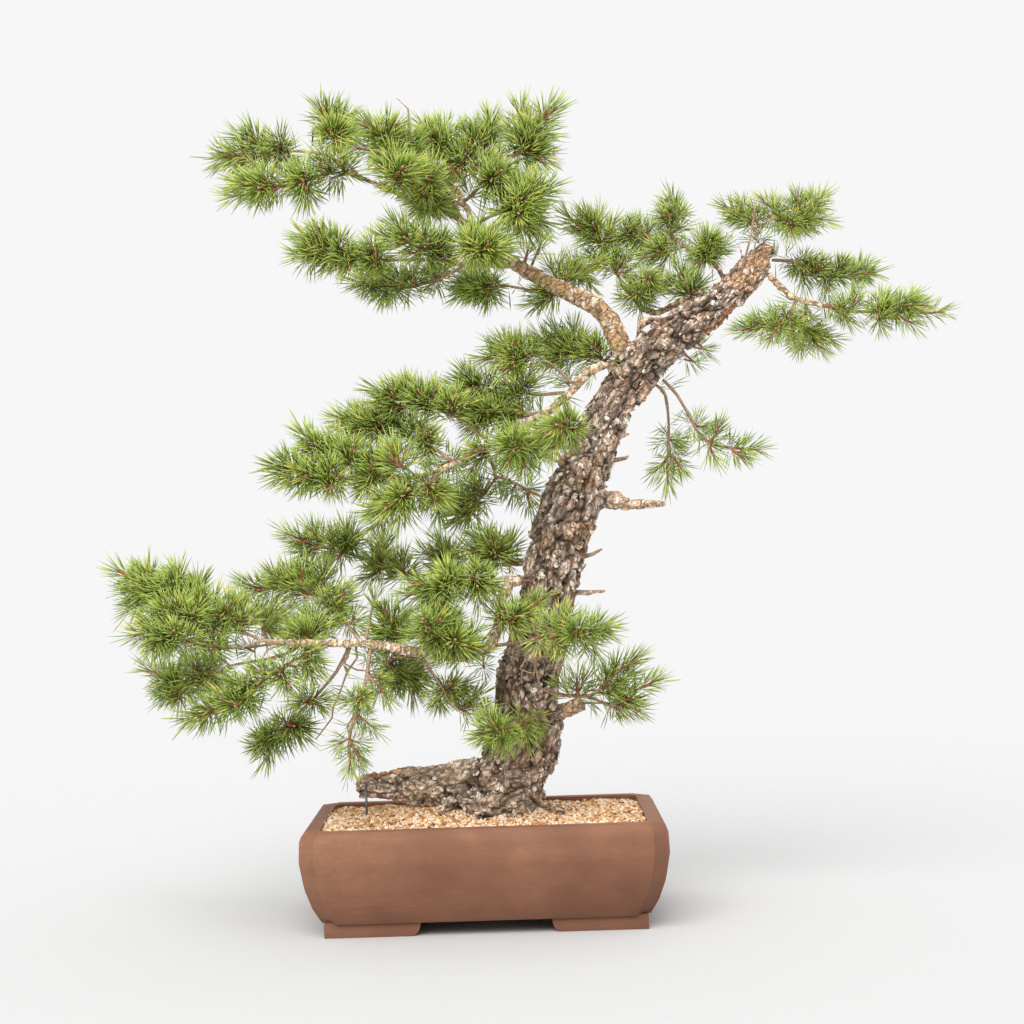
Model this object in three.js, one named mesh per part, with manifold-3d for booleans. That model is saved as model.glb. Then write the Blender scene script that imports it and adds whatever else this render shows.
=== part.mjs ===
// Scots pine bonsai in a brown stoneware pot. Millimetres, +Z up, front towards -Y.
// The origin is on the resting plane, in the middle of the whole tree's box.
import * as THREE from 'three';
import { mergeVertices } from 'three/addons/utils/BufferGeometryUtils.js';
import Module from 'manifold-3d';

const wasm = await Module();
wasm.setup();

// Driving dimensions
const potHalfLength = 266.5;
const potHalfDepth = 185;
const potHeight = 155.6;
const footHeight = 20;
const wallThickness = 21;
const floorThickness = 14;
const drainHoleRadius = 12;
const soilLevel = 147;
const needleLength = 43;
const needleReach = 20; // how far the needles of a shoot stand out past its bud
const needleStemRadius = 1.9;
const seatGap = 0.35;
const clearGap = 0.7;

// Front view: the tree's course is given as seen from the front, in view units, with its depth in mm
// (0 is the pot's middle, positive is away from the viewer). One view unit is 1.51 mm at depth 0.
const viewDistance = 3220;
const viewHeight = 580;
const viewSide = 54;
const viewFocal = 2133;
const viewTurn = THREE.MathUtils.degToRad(1.75);
const viewMiddle = 512;
const viewHorizon = 530;

// Seeded random numbers from 0 to 1
function randomSource(seed) {
  let state = seed;
  return () => {
    state = (state * 1664525 + 1013904223) % 4294967296;
    return state / 4294967296;
  };
}
const random = randomSource(20);

function inView(across, down, depth) {
  const perUnit = (viewDistance + depth) / viewFocal;
  const u = across - viewMiddle;
  const v = down - viewHorizon;
  const x = viewSide + (u * Math.cos(viewTurn) - v * Math.sin(viewTurn)) * perUnit;
  const z = viewHeight - (u * Math.sin(viewTurn) + v * Math.cos(viewTurn)) * perUnit;
  return new THREE.Vector3(x, depth, z);
}

// Solids and meshes

function solidOf(shape) {
  const bare = shape.index ? shape.clone() : shape;
  bare.deleteAttribute('normal');
  bare.deleteAttribute('uv');
  const merged = mergeVertices(bare, 0.0005);
  return new wasm.Manifold(new wasm.Mesh({
    numProp: 3,
    vertProperties: new Float32Array(merged.attributes.position.array),
    triVerts: new Uint32Array(merged.index.array),
  }));
}

function meshOf(name, solid, material) {
  const { vertProperties, triVerts } = solid.getMesh();
  const shape = new THREE.BufferGeometry();
  shape.setAttribute('position', new THREE.BufferAttribute(vertProperties, 3));
  shape.setIndex(new THREE.BufferAttribute(triVerts, 1));
  shape.computeVertexNormals();
  const mesh = new THREE.Mesh(shape, material);
  mesh.name = name;
  return mesh;
}

function joined(solids) {
  return solids.reduce((whole, next) => whole.add(next));
}

function largestPiece(solid) {
  const pieces = solid.decompose();
  return pieces.reduce((best, next) => (next.volume() > best.volume() ? next : best));
}

function finish(colour, roughness) {
  return new THREE.MeshStandardMaterial({ color: colour, roughness, metalness: 0 });
}

// A round bar bent along a curve. radiusAt(share, angle) gives its radius at a share of its length.
function bentBar(curve, radiusAt, sides, rings) {
  const bar = new THREE.CylinderGeometry(1, 1, 1, sides, rings);
  const frames = curve.computeFrenetFrames(rings);
  const centres = curve.getSpacedPoints(rings);
  const place = bar.attributes.position;
  for (let i = 0; i < place.count; i += 1) {
    const share = place.getY(i) + 0.5;
    const ring = Math.round(share * rings);
    const x = place.getX(i);
    const z = place.getZ(i);
    const radius = radiusAt(share, Math.atan2(z, x));
    const point = centres[ring].clone()
      .addScaledVector(frames.normals[ring], x * radius)
      .addScaledVector(frames.binormals[ring], -z * radius);
    place.setXYZ(i, point.x, point.y, point.z);
  }
  return bar;
}

function valueAlong(values, share) {
  const place = share * (values.length - 1);
  const low = Math.min(Math.floor(place), values.length - 2);
  return THREE.MathUtils.lerp(values[low], values[low + 1], place - low);
}

// Pot: a rectangle with inset corners, bulging walls, a flat rim, drain holes and four bracket feet

// height, half length, half depth of the outside wall
const potWall = [
  [footHeight, 238, 156],
  [42, 250, 168],
  [72, 260, 178],
  [112, potHalfLength, potHalfDepth],
  [143, 265, 183.5],
  [potHeight - 1.5, 260, 178.5],
  [potHeight, 257, 175.5],
];
const cornerCut = 22;
const cornerInset = 3.5;

function potOutline(halfLength, halfDepth) {
  const cut = cornerCut;
  const inset = cornerInset;
  const corner = [
    [halfLength, halfDepth - cut],
    [halfLength - inset, halfDepth - cut],
    [halfLength - cut, halfDepth - inset],
    [halfLength - cut, halfDepth],
  ];
  const turned = [...corner].reverse();
  return [
    ...corner,
    ...turned.map(([x, y]) => [-x, y]),
    ...corner.map(([x, y]) => [-x, -y]),
    ...turned.map(([x, y]) => [x, -y]),
  ];
}

// Stacks outlines of the same point count into a closed body
function stackedBody(levels, outlineAt) {
  const sides = outlineAt(levels[0][1], levels[0][2]).length;
  const points = [];
  const faces = [];
  for (const [height, halfLength, halfDepth] of levels) {
    for (const [x, y] of outlineAt(halfLength, halfDepth)) points.push(x, y, height);
  }
  for (let level = 0; level < levels.length - 1; level += 1) {
    for (let side = 0; side < sides; side += 1) {
      const a = level * sides + side;
      const b = level * sides + ((side + 1) % sides);
      faces.push(a, b, b + sides, a, b + sides, a + sides);
    }
  }
  const rim = outlineAt(levels[0][1], levels[0][2]).map(([x, y]) => new THREE.Vector2(x, y));
  const top = (levels.length - 1) * sides;
  for (const [a, b, c] of THREE.ShapeUtils.triangulateShape(rim, [])) {
    faces.push(c, b, a, top + a, top + b, top + c);
  }
  const body = new THREE.BufferGeometry();
  body.setAttribute('position', new THREE.Float32BufferAttribute(points, 3));
  body.setIndex(faces);
  return solidOf(body);
}

function insideOutline(halfLength, halfDepth) {
  const round = 16;
  return [
    [halfLength, halfDepth - round],
    [halfLength - round * 0.3, halfDepth - round * 0.3],
    [halfLength - round, halfDepth],
    [-halfLength + round, halfDepth],
    [-halfLength + round * 0.3, halfDepth - round * 0.3],
    [-halfLength, halfDepth - round],
    [-halfLength, -halfDepth + round],
    [-halfLength + round * 0.3, -halfDepth + round * 0.3],
    [-halfLength + round, -halfDepth],
    [halfLength - round, -halfDepth],
    [halfLength - round * 0.3, -halfDepth + round * 0.3],
    [halfLength, -halfDepth + round],
  ];
}

// The hollow follows the wall; slack moves it inwards for the soil that fills it
function potHollow(slack, topHeight) {
  const bottom = footHeight + floorThickness + slack;
  const levels = [bottom, 72, 112, potHeight, topHeight].map((height) => {
    const above = potWall.find(([level]) => level >= height) ?? potWall.at(-1);
    const below = potWall[Math.max(potWall.indexOf(above) - 1, 0)];
    const share = Math.min((height - below[0]) / Math.max(above[0] - below[0], 1), 1);
    const inward = wallThickness + slack;
    return [
      height,
      THREE.MathUtils.lerp(below[1], above[1], share) - inward,
      THREE.MathUtils.lerp(below[2], above[2], share) - inward,
    ];
  });
  return stackedBody(levels, insideOutline);
}

const longFootLeg = 139;
const shortFootLeg = 92;
const footWidth = 24;
const footOverlap = 3; // how far a foot runs up into the pot's floor
const footCurl = 9;
const footCornerAt = [234, 150];
const drainHoleAside = 118;
const drainHoleSides = 10;
const drainDrillDepth = 60;

function footLeg(length, width) {
  const leg = new THREE.Shape();
  leg.moveTo(0, 0);
  leg.lineTo(length - footCurl * 1.6, 0);
  leg.quadraticCurveTo(length - 2, 1, length, footHeight - 4);
  leg.lineTo(length, footHeight + footOverlap);
  leg.lineTo(0, footHeight + footOverlap);
  const bar = new THREE.ExtrudeGeometry(leg, { depth: width, bevelEnabled: false, curveSegments: 2 });
  bar.rotateX(Math.PI / 2);
  return bar;
}

function makePot() {
  let pot = stackedBody(potWall, potOutline).subtract(potHollow(0, potHeight + 5));
  for (const acrossSign of [-1, 1]) {
    for (const depthSign of [-1, 1]) {
      const long = footLeg(longFootLeg, footWidth);
      long.translate(-footCornerAt[0], -footCornerAt[1] + footWidth, 0);
      const short = footLeg(shortFootLeg, footWidth);
      short.rotateZ(Math.PI / 2);
      short.translate(-footCornerAt[0], -footCornerAt[1], 0);
      const foot = solidOf(long).add(solidOf(short));
      const turn = new THREE.Matrix4().makeScale(-acrossSign, -depthSign, 1);
      pot = pot.add(foot.transform(turn.elements));
    }
  }
  for (const side of [-1, 1]) {
    const drill = new THREE.CylinderGeometry(
      drainHoleRadius, drainHoleRadius, drainDrillDepth, drainHoleSides,
    );
    drill.rotateX(Math.PI / 2);
    drill.translate(side * drainHoleAside, 0, footHeight);
    pot = pot.subtract(solidOf(drill));
  }
  return pot;
}

// Soil: low mound under the tree, with a grainy top

const moundHeight = 19;
const moundMiddle = [-45, -5];
const moundReach = [175, 95];
const soilBlock = [500, 340, 200]; // larger all round than the pot's hollow, which trims it
const soilCells = [15, 9];
const grainRelief = 2.2;

function soilHeight(x, y) {
  const across = (x - moundMiddle[0]) / moundReach[0];
  const deep = (y - moundMiddle[1]) / moundReach[1];
  return soilLevel + moundHeight * Math.exp(-(across ** 2) - deep ** 2);
}

function makeSoil(holes) {
  const block = new THREE.BoxGeometry(...soilBlock, ...soilCells, 1);
  const place = block.attributes.position;
  for (let i = 0; i < place.count; i += 1) {
    const x = place.getX(i);
    const y = place.getY(i);
    const grain = grainRelief * Math.sin(x * 0.83 + y * 1.9) * Math.cos(y * 0.61 - x * 1.3);
    place.setZ(i, place.getZ(i) > 0 ? soilHeight(x, y) + grain : 0);
  }
  const filling = solidOf(block).intersect(potHollow(seatGap, potHeight + 40));
  return largestPiece(holes.reduce((soil, hole) => soil.subtract(hole), filling));
}

// Trunk: place across and down the view, depth, width in mm
const trunkCourse = [
  [494, 842, 4, 168],
  [497, 815, 2, 168],
  [502, 798, 0, 142],
  [510, 780, 0, 112],
  [519, 755, -4, 116],
  [528, 730, -8, 114],
  [527, 700, -10, 98],
  [530, 670, -14, 96],
  [539, 640, -18, 93],
  [548, 600, -18, 87],
  [555, 560, -12, 86],
  [565, 520, -4, 94],
  [579, 485, 6, 87],
  [588, 460, 12, 76],
  [601, 430, 16, 73],
  [617, 400, 16, 66],
  [645, 364, 8, 72],
  [672, 337, 0, 68],
  [692, 323, -4, 64],
  [722, 300, -6, 58],
  [745, 276, -10, 48],
  [771, 246, -12, 31],
];

// Bark plates on the trunk, as relief on its radius
function barkRelief(along, angle, width) {
  const plates = Math.sin(along * 0.115 + 2.2 * Math.sin(angle * 2)) * Math.sin(angle * 5 + along * 0.031);
  const knots = Math.sin(along * 0.047 + angle) * Math.cos(angle * 3 - along * 0.021);
  return 1 + (0.5 * plates + 0.65 * knots) * Math.min(0.11, 5 / width);
}

// Rises at the root flare: the trunk's foot spreads in lobes
function rootLobes(share, angle) {
  const low = Math.max(0, 1 - share / 0.13);
  return 1 + low * (0.16 * Math.cos(angle * 3 + 0.7) + 0.1 * Math.sin(angle * 5));
}

const trunkSides = 14;
const trunkRings = 38;
const trunkPoints = trunkCourse.map(([across, down, depth]) => inView(across, down, depth));
const trunkCurve = new THREE.CatmullRomCurve3(trunkPoints, false, 'centripetal');
const trunkWidths = trunkCourse.map(([, , , width]) => width);

function trunkSolid(extra) {
  const length = trunkCurve.getLength();
  return solidOf(bentBar(trunkCurve, (share, angle) => {
    const width = valueAlong(trunkWidths, trunkCurve.getUtoTmapping(share));
    const relief = barkRelief(share * length, angle, width) * rootLobes(share, angle);
    return (width / 2) * relief + extra;
  }, trunkSides, trunkRings));
}

// Bones: every bar of wood as short round pieces, for keeping the rest clear of them
const bones = [];

function addBones(owner, curve, radiusAt, pieces, fromLength = 0) {
  const points = curve.getSpacedPoints(pieces);
  const length = curve.getLength();
  for (let i = 0; i < pieces; i += 1) {
    if (((i + 1) / pieces) * length >= fromLength) {
      const radius = Math.max(radiusAt(i / pieces), radiusAt((i + 1) / pieces));
      bones.push({ owner, from: points[i], to: points[i + 1], radius });
    }
  }
}

// Shortest way between two straight pieces, with the share along each where it is
function pieceDistance(a, b, c, d) {
  const along = b.clone().sub(a);
  const other = d.clone().sub(c);
  const apart = a.clone().sub(c);
  const aa = along.dot(along);
  const ee = other.dot(other);
  const f = other.dot(apart);
  const g = along.dot(apart);
  const ab = along.dot(other);
  const square = aa * ee - ab * ab;
  let s = square > 1e-9 ? THREE.MathUtils.clamp((ab * f - g * ee) / square, 0, 1) : 0;
  let t = THREE.MathUtils.clamp((ab * s + f) / ee, 0, 1);
  s = THREE.MathUtils.clamp((ab * t - g) / aa, 0, 1);
  t = THREE.MathUtils.clamp((ab * s + f) / ee, 0, 1);
  const near = a.clone().addScaledVector(along, s);
  const far = c.clone().addScaledVector(other, t);
  return { gap: near.distanceTo(far), s, t };
}

function boxesApart(a, b, c, d, reach) {
  return Math.min(a.x, b.x) - reach > Math.max(c.x, d.x) || Math.max(a.x, b.x) + reach < Math.min(c.x, d.x)
    || Math.min(a.z, b.z) - reach > Math.max(c.z, d.z) || Math.max(a.z, b.z) + reach < Math.min(c.z, d.z)
    || Math.min(a.y, b.y) - reach > Math.max(c.y, d.y) || Math.max(a.y, b.y) + reach < Math.min(c.y, d.y);
}

// Branches: a place on the parent, then the course in the view; depth runs evenly to tipDepth
const branchCurves = { trunk: trunkCurve };

function nearestDepth(curve, across, down) {
  let best = null;
  for (const point of curve.getSpacedPoints(120)) {
    const gap = point.distanceTo(inView(across, down, point.y));
    if (!best || gap < best.gap) best = { gap, point };
  }
  return best.point;
}

function branchCurve(parent, course, tipDepth, bend) {
  const start = nearestDepth(branchCurves[parent], ...course[0]);
  const points = course.map(([across, down], i) => {
    if (i === 0) return start;
    const share = i / (course.length - 1);
    const depth = THREE.MathUtils.lerp(start.y, tipDepth, share) + bend * Math.sin(Math.PI * share);
    return inView(across, down, depth);
  });
  return new THREE.CatmullRomCurve3(points, false, 'centripetal');
}

const woodBars = [];

// A limb that stays bare wood: name, parent, depth at its tip, radii at both ends, sides, rings, course
function limb(name, parent, tipDepth, baseRadius, tipRadius, sides, rings, course, bend = 0) {
  const curve = branchCurve(parent, course, tipDepth, bend);
  const radiusAt = (share) => THREE.MathUtils.lerp(baseRadius, tipRadius, share ** 0.8);
  branchCurves[name] = curve;
  addBones('wood', curve, (share) => radiusAt(share) * 1.1, rings);
  woodBars.push({ curve, radiusAt, sides, rings });
}

addBones('wood', trunkCurve, (share) => {
  const width = valueAlong(trunkWidths, trunkCurve.getUtoTmapping(share));
  return (width / 2) * 1.12;
}, trunkRings);

// Roots
limb('longRoot', 'trunk', 22, 46, 20, 8, 9, [
  [492, 772], [462, 781], [440, 786], [405, 785], [380, 785], [359, 789],
]);
limb('rightRoot', 'trunk', -44, 21, 7, 6, 7, [
  [506, 772], [520, 787], [531, 801], [546, 806], [567, 811],
]);
limb('frontRoot', 'trunk', -92, 26, 9, 6, 5, [[490, 795], [486, 806], [480, 818]]);
limb('leftFrontRoot', 'trunk', -66, 22, 10, 6, 5, [[470, 792], [455, 802], [440, 812]]);
limb('backRoot', 'trunk', 92, 26, 8, 6, 5, [[510, 780], [528, 788], [545, 797]]);

// Crown limb and its arms
limb('crownLimb', 'trunk', -14, 20, 8, 8, 12, [
  [634, 372], [622, 350], [614, 330], [605, 312], [588, 302], [570, 293], [540, 279], [514, 263], [482, 241],
  [460, 220],
]);
limb('leftArm', 'crownLimb', -30, 6, 4.2, 5, 6, [
  [460, 219], [425, 202], [395, 193], [362, 178], [346, 172],
]);
limb('upperArm', 'crownLimb', 10, 6, 4.5, 5, 4, [[476, 234], [470, 215], [462, 200], [456, 184]]);
limb('tallArm', 'crownLimb', -64, 5.5, 4, 5, 4, [[456, 216], [448, 190], [430, 175], [412, 163]]);
limb('middleArm', 'crownLimb', -52, 6, 4, 5, 4, [
  [518, 266], [498, 265], [480, 266], [455, 263], [436, 260],
]);

// Wood behind the upper trunk
limb('backLimb', 'trunk', 78, 9, 5, 5, 5, [[716, 304], [692, 299], [676, 303], [660, 314], [640, 308]]);
limb('bridge', 'trunk', 30, 9, 8, 5, 4, [
  [622, 338], [634, 326], [650, 321], [668, 321], [684, 322],
]);
limb('highLimb', 'trunk', 54, 5.5, 4, 5, 5, [[731, 292], [722, 274], [711, 262], [700, 258], [688, 250]]);
limb('rightLimb', 'trunk', -26, 7, 4.5, 5, 5, [
  [764, 268], [778, 284], [792, 298], [806, 301], [822, 305],
]);

// Middle limb to the left, low limb at the front, and the limb between them
limb('middleLimb', 'trunk', -96, 9, 4.5, 6, 9, [
  [614, 362], [600, 362], [578, 385], [548, 412], [515, 430], [475, 452], [450, 467], [436, 472],
]);
limb('innerLimb', 'trunk', 42, 8, 5, 5, 3, [[552, 556], [527, 561], [502, 565]]);
limb('lowLimb', 'trunk', -120, 12, 6, 6, 13, [
  [552, 574], [530, 580], [512, 580], [503, 590], [500, 615], [497, 638], [480, 654], [440, 656], [400, 648],
  [360, 643], [320, 644], [286, 643],
], -34);

// Dead stubs and snags
limb('snagCollar', 'trunk', -22, 27, 13, 7, 2, [[584, 497], [604, 499], [620, 501]]);
limb('longSnag', 'trunk', -40, 21, 5, 6, 5, [[584, 498], [606, 500], [625, 504], [645, 504], [665, 504]]);
limb('shortSnag', 'trunk', -26, 9, 3, 5, 3, [[562, 598], [580, 594], [605, 591]]);
limb('lowStub', 'trunk', -62, 17, 11, 6, 4, [[530, 722], [556, 714], [582, 703]]);
limb('frontStub', 'trunk', -84, 19, 13, 6, 3, [[536, 668], [533, 652]]);
limb('bareTwig', 'trunk', 26, 3.4, 1.6, 4, 4, [[752, 270], [745, 264], [741, 250], [728, 233], [722, 230]]);
limb('topStub', 'trunk', -22, 7, 3.5, 5, 2, [[706, 314], [700, 300], [699, 288]]);

function makeWood(extra) {
  const bars = woodBars.map(({ curve, radiusAt, sides, rings }) => {
    const length = curve.getLength();
    return solidOf(bentBar(curve, (share, angle) => {
      const radius = radiusAt(share);
      const knobs = 1 + 0.09 * Math.sin(share * length * 0.21 + angle * 2) * Math.min(1, radius / 6);
      return radius * knobs + extra;
    }, sides, rings));
  });
  return largestPiece(joined([trunkSolid(extra), ...bars]));
}

// Leafy sprays. Each has its main stem and side stems (course in the view), the depth at their tips,
// and its shoots: the place of each tip in the view and how far it stands out or back in mm.
const sprays = [];

function spray(name, parent, stems, shoots) {
  sprays.push({ name: `spray_${name}`, parent, stems, shoots });
}

spray('crown_left', 'leftArm', [
  [30, [[350, 174], [345, 167], [334, 156], [320, 150], [285, 152], [258, 158]]],
], [[213, 159, 0], [238, 133, -20], [256, 142, 30], [277, 144, -30]]);
spray('crown_left_low', 'leftArm', [
  [-75, [[352, 175], [335, 171], [315, 178], [285, 185], [268, 190]]],
], [[228, 198, 0], [238, 184, -25], [243, 168, 30], [299, 170, 25], [306, 194, -20], [320, 163, -35]]);
spray('crown_left_tall', 'leftArm', [
  [70, [[358, 177], [345, 165], [337, 145], [331, 124]]],
], [[318, 104, 0], [319, 121, -30], [338, 138, -35], [345, 118, 35]]);
spray('crown_tall', 'tallArm', [
  [-70, [[418, 167], [400, 152], [385, 143], [375, 133]]],
], [[363, 120, -40], [395, 123, -20], [385, 105, 30], [353, 151, -15], [410, 140, 35]]);
spray('crown_front', 'leftArm', [
  [-140, [[428, 203], [429, 190], [415, 183], [398, 177]]],
], [[430, 175, -45], [402, 168, 20], [380, 166, 0], [436, 206, -30]]);
spray('crown_top', 'upperArm', [
  [60, [[457, 190], [454, 172], [446, 155], [438, 140]]],
  [110, [[454, 172], [475, 153], [497, 140]]],
  [40, [[455, 178], [490, 162], [520, 152], [538, 143]]],
], [
  [422, 124, -20], [420, 152, -35], [445, 124, 30], [460, 170, -30], [490, 113, 0], [470, 130, -25],
  [520, 105, 30], [508, 124, -30], [527, 127, -25], [551, 124, 0], [557, 105, 20], [545, 160, -30],
  [524, 151, -45], [500, 172, 20],
]);
spray('crown_right', 'upperArm', [
  [-90, [[463, 203], [475, 190], [487, 183], [500, 184]]],
], [[524, 176, 0], [531, 166, 30], [500, 168, -35], [514, 197, -20]]);
spray('crown_right_low', 'crownLimb', [
  [-120, [[470, 228], [486, 214], [502, 213], [526, 205]]],
], [[518, 216, -45], [553, 184, 0], [532, 188, -25], [546, 224, 15], [538, 238, 35]]);
spray('crown_middle', 'middleArm', [
  [-140, [[450, 263], [457, 253], [469, 250], [481, 250]]],
], [[498, 250, -40], [511, 242, 0], [489, 235, -25], [470, 237, 20]]);
spray('crown_behind', 'upperArm', [
  [150, [[466, 208], [452, 200], [440, 196], [430, 200]]],
], [[410, 190, 10], [424, 212, 30], [438, 184, -10]]);

spray('pad_left', 'middleArm', [
  [-70, [[438, 260], [400, 260], [370, 261], [345, 257], [325, 252]]],
], [
  [293, 256, 0], [307, 248, 30], [298, 232, -20], [318, 228, 25], [350, 270, -30], [372, 270, 20],
  [371, 243, -35],
]);
spray('pad_left_top', 'middleArm', [
  [-130, [[446, 262], [432, 252], [416, 246], [400, 240]]],
], [[395, 222, 10], [428, 240, -40], [378, 236, -10], [441, 240, -20]]);
spray('pad_left_under', 'crownLimb', [
  [40, [[490, 247], [466, 266], [446, 276], [425, 284], [400, 288], [375, 287]]],
], [[353, 281, 0], [376, 276, -25], [386, 297, 20], [432, 270, 30], [410, 277, -20]]);
spray('pad_right_under', 'crownLimb', [
  [60, [[566, 288], [545, 294], [525, 288], [500, 285], [478, 291]]],
], [[456, 294, 0], [452, 281, -20], [470, 277, 30], [488, 300, -20], [541, 304, 0]]);

spray('back_tall', 'backLimb', [
  [105, [[641, 307], [626, 292], [611, 262], [600, 242], [592, 228]]],
], [
  [563, 213, 0], [585, 210, -30], [600, 211, 30], [613, 222, -10], [570, 228, 25], [592, 258, 15],
  [628, 257, -20],
]);
spray('back_high', 'highLimb', [
  [96, [[690, 251], [678, 240], [666, 233], [650, 236], [632, 236]]],
  [70, [[684, 246], [672, 251], [657, 253]]],
  [90, [[670, 235], [673, 222], [675, 212]]],
], [
  [603, 242, 0], [621, 227, -20], [640, 222, 25], [644, 249, 25], [640, 260, -20], [661, 267, 15],
  [673, 200, 0], [664, 214, -20], [683, 212, 25],
]);
spray('back_middle', 'backLimb', [
  [30, [[643, 306], [636, 294], [640, 284], [646, 283]]],
], [[652, 277, -40], [640, 293, -30], [626, 285, 20], [664, 290, 0]]);
spray('back_right', 'highLimb', [
  [20, [[711, 263], [708, 255], [707, 249]]],
], [[710, 237, -45], [697, 245, 10], [721, 248, 0], [698, 264, -30]]);
spray('back_near', 'backLimb', [
  [30, [[694, 297], [688, 290], [684, 285]]],
], [[680, 273, 0], [668, 283, 20], [696, 278, 30]]);
spray('back_left', 'crownLimb', [
  [60, [[561, 284], [572, 277], [582, 272]]],
], [[600, 262, 0], [590, 284, -10], [573, 262, 20], [546, 264, 25]]);

spray('right_top', 'trunk', [
  [-20, [[759, 254], [754, 234], [757, 222], [775, 218], [798, 219], [810, 208]]],
  [30, [[754, 232], [751, 222], [748, 214]]],
], [
  [773, 203, 25], [797, 197, -20], [815, 197, 20], [826, 192, 0], [829, 221, -15], [811, 228, 20],
  [792, 235, -40], [720, 205, 0], [737, 197, 25], [735, 214, -20],
]);
spray('right_upper', 'trunk', [
  [50, [[766, 262], [780, 258], [797, 262], [818, 275], [840, 277], [858, 278]]],
], [
  [880, 271, 0], [869, 263, 25], [843, 261, -25], [827, 289, -20], [812, 262, 25], [824, 265, -30],
  [803, 281, 15],
]);
spray('right_tip', 'rightLimb', [
  [-30, [[820, 305], [835, 308], [860, 312], [882, 311], [905, 312]]],
], [
  [947, 313, 0], [918, 293, 20], [915, 326, -20], [880, 328, -25], [882, 298, 25], [857, 294, -20],
  [845, 319, 15], [928, 302, -25],
]);
spray('right_under', 'rightLimb', [
  [-90, [[796, 299], [793, 311], [786, 320], [778, 327]]],
], [[735, 332, 0], [750, 320, 20], [796, 340, -20], [768, 340, -30]]);
spray('right_under_back', 'rightLimb', [
  [50, [[806, 301], [806, 316], [807, 329], [812, 338]]],
], [[836, 340, 0], [823, 351, -20], [798, 350, 25], [794, 328, 20]]);

spray('hanging_right', 'trunk', [
  [-30, [[648, 366], [672, 388], [682, 399], [692, 421], [700, 439], [715, 445], [736, 448]]],
], [[762, 450, 0], [737, 436, 20], [720, 426, -20], [704, 428, 25], [713, 458, -20], [746, 460, -25]]);
spray('hanging_inner', 'trunk', [
  [60, [[640, 374], [664, 388], [670, 405], [669, 432], [667, 466]]],
], [[668, 482, 0], [684, 470, -20], [657, 470, 20], [676, 440, 25]]);

spray('mid_top_left', 'middleLimb', [
  [-30, [[577, 388], [560, 387], [549, 376], [548, 356], [526, 353], [508, 358]]],
], [[478, 360, 0], [489, 347, 25], [514, 344, -20], [501, 374, -40]]);
spray('mid_top', 'trunk', [
  [60, [[620, 374], [602, 358], [585, 359], [565, 353], [553, 347]]],
], [[540, 336, 0], [556, 326, -20], [574, 325, 25], [592, 342, -25], [532, 352, 25]]);
spray('mid_inner_left', 'middleLimb', [
  [10, [[571, 394], [548, 397], [524, 393], [495, 392], [470, 394]]],
], [[454, 384, 0], [463, 373, -20], [481, 384, 25], [520, 381, -25], [498, 401, -20]]);
spray('mid_inner', 'middleLimb', [
  [-160, [[566, 400], [572, 412], [573, 428], [560, 435]]],
], [[540, 431, -10], [558, 421, -40], [552, 448, 10], [538, 416, -30]]);
spray('mid_trunk_side', 'trunk', [
  [-130, [[570, 468], [550, 459], [532, 450], [516, 447]]],
], [[522, 472, -45], [508, 458, -15], [502, 440, 10], [530, 438, 25]]);
spray('mid_fork', 'middleLimb', [
  [-30, [[549, 414], [520, 417], [500, 418], [485, 422]]],
], [[462, 413, 0], [477, 404, -25], [472, 431, -20], [500, 404, 25]]);

spray('left_tip', 'middleLimb', [
  [-110, [[440, 471], [420, 477], [385, 479], [340, 478], [304, 477]]],
  [-60, [[390, 479], [368, 471], [345, 462], [316, 450]]],
  [-170, [[418, 477], [408, 468], [396, 465]]],
], [
  [268, 465, 0], [286, 478, -25], [322, 466, 25], [330, 492, -20], [365, 490, 20], [297, 428, 0],
  [337, 437, 25], [302, 452, -20], [352, 446, -30], [378, 457, -40], [390, 446, 10], [372, 472, 0],
]);
spray('left_upper', 'middleLimb', [
  [20, [[456, 464], [436, 450], [415, 439], [390, 432], [360, 428]]],
], [
  [333, 415, 0], [343, 435, -25], [352, 410, 25], [380, 416, -30], [428, 432, -30], [404, 416, 25],
  [424, 455, 20],
]);
spray('left_high', 'middleLimb', [
  [-30, [[490, 443], [470, 428], [450, 413], [428, 406], [402, 402]]],
], [[370, 389, 0], [376, 408, -25], [403, 383, 25], [418, 390, -30], [440, 394, 20], [456, 400, -20]]);
spray('left_under', 'middleLimb', [
  [-150, [[444, 470], [426, 485], [411, 493], [400, 500]]],
], [
  [386, 508, -30], [370, 513, 0], [350, 504, 20], [398, 522, -15], [369, 530, 20], [436, 503, -20],
  [441, 518, 20],
]);
spray('left_under_back', 'middleLimb', [
  [30, [[484, 447], [493, 464], [495, 478], [488, 490], [466, 512]]],
  [10, [[495, 476], [512, 481], [530, 491], [540, 496]]],
], [[455, 500, 0], [474, 487, -25], [460, 522, 20], [468, 472, -30], [546, 507, 0], [528, 506, 15]]);

spray('inner_left', 'innerLimb', [
  [90, [[505, 565], [450, 570], [415, 577], [380, 567], [345, 552], [308, 545]]],
  [60, [[450, 570], [446, 561], [440, 556]]],
], [
  [283, 532, 0], [312, 528, -25], [348, 526, 25], [336, 558, -40], [367, 580, -20], [385, 537, 30],
  [403, 558, -30], [422, 553, -25], [440, 537, 20], [458, 549, 0],
]);
spray('inner_top', 'innerLimb', [
  [-40, [[512, 564], [500, 557], [486, 553]]],
], [[465, 551, 0], [473, 530, 20], [492, 541, -25], [512, 541, 20]]);
spray('inner_low', 'lowLimb', [
  [-150, [[503, 592], [490, 578], [460, 585], [427, 590]]],
], [[403, 597, 0], [409, 581, 20], [470, 575, -30], [448, 573, 10], [480, 600, -10], [440, 602, -20]]);

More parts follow.
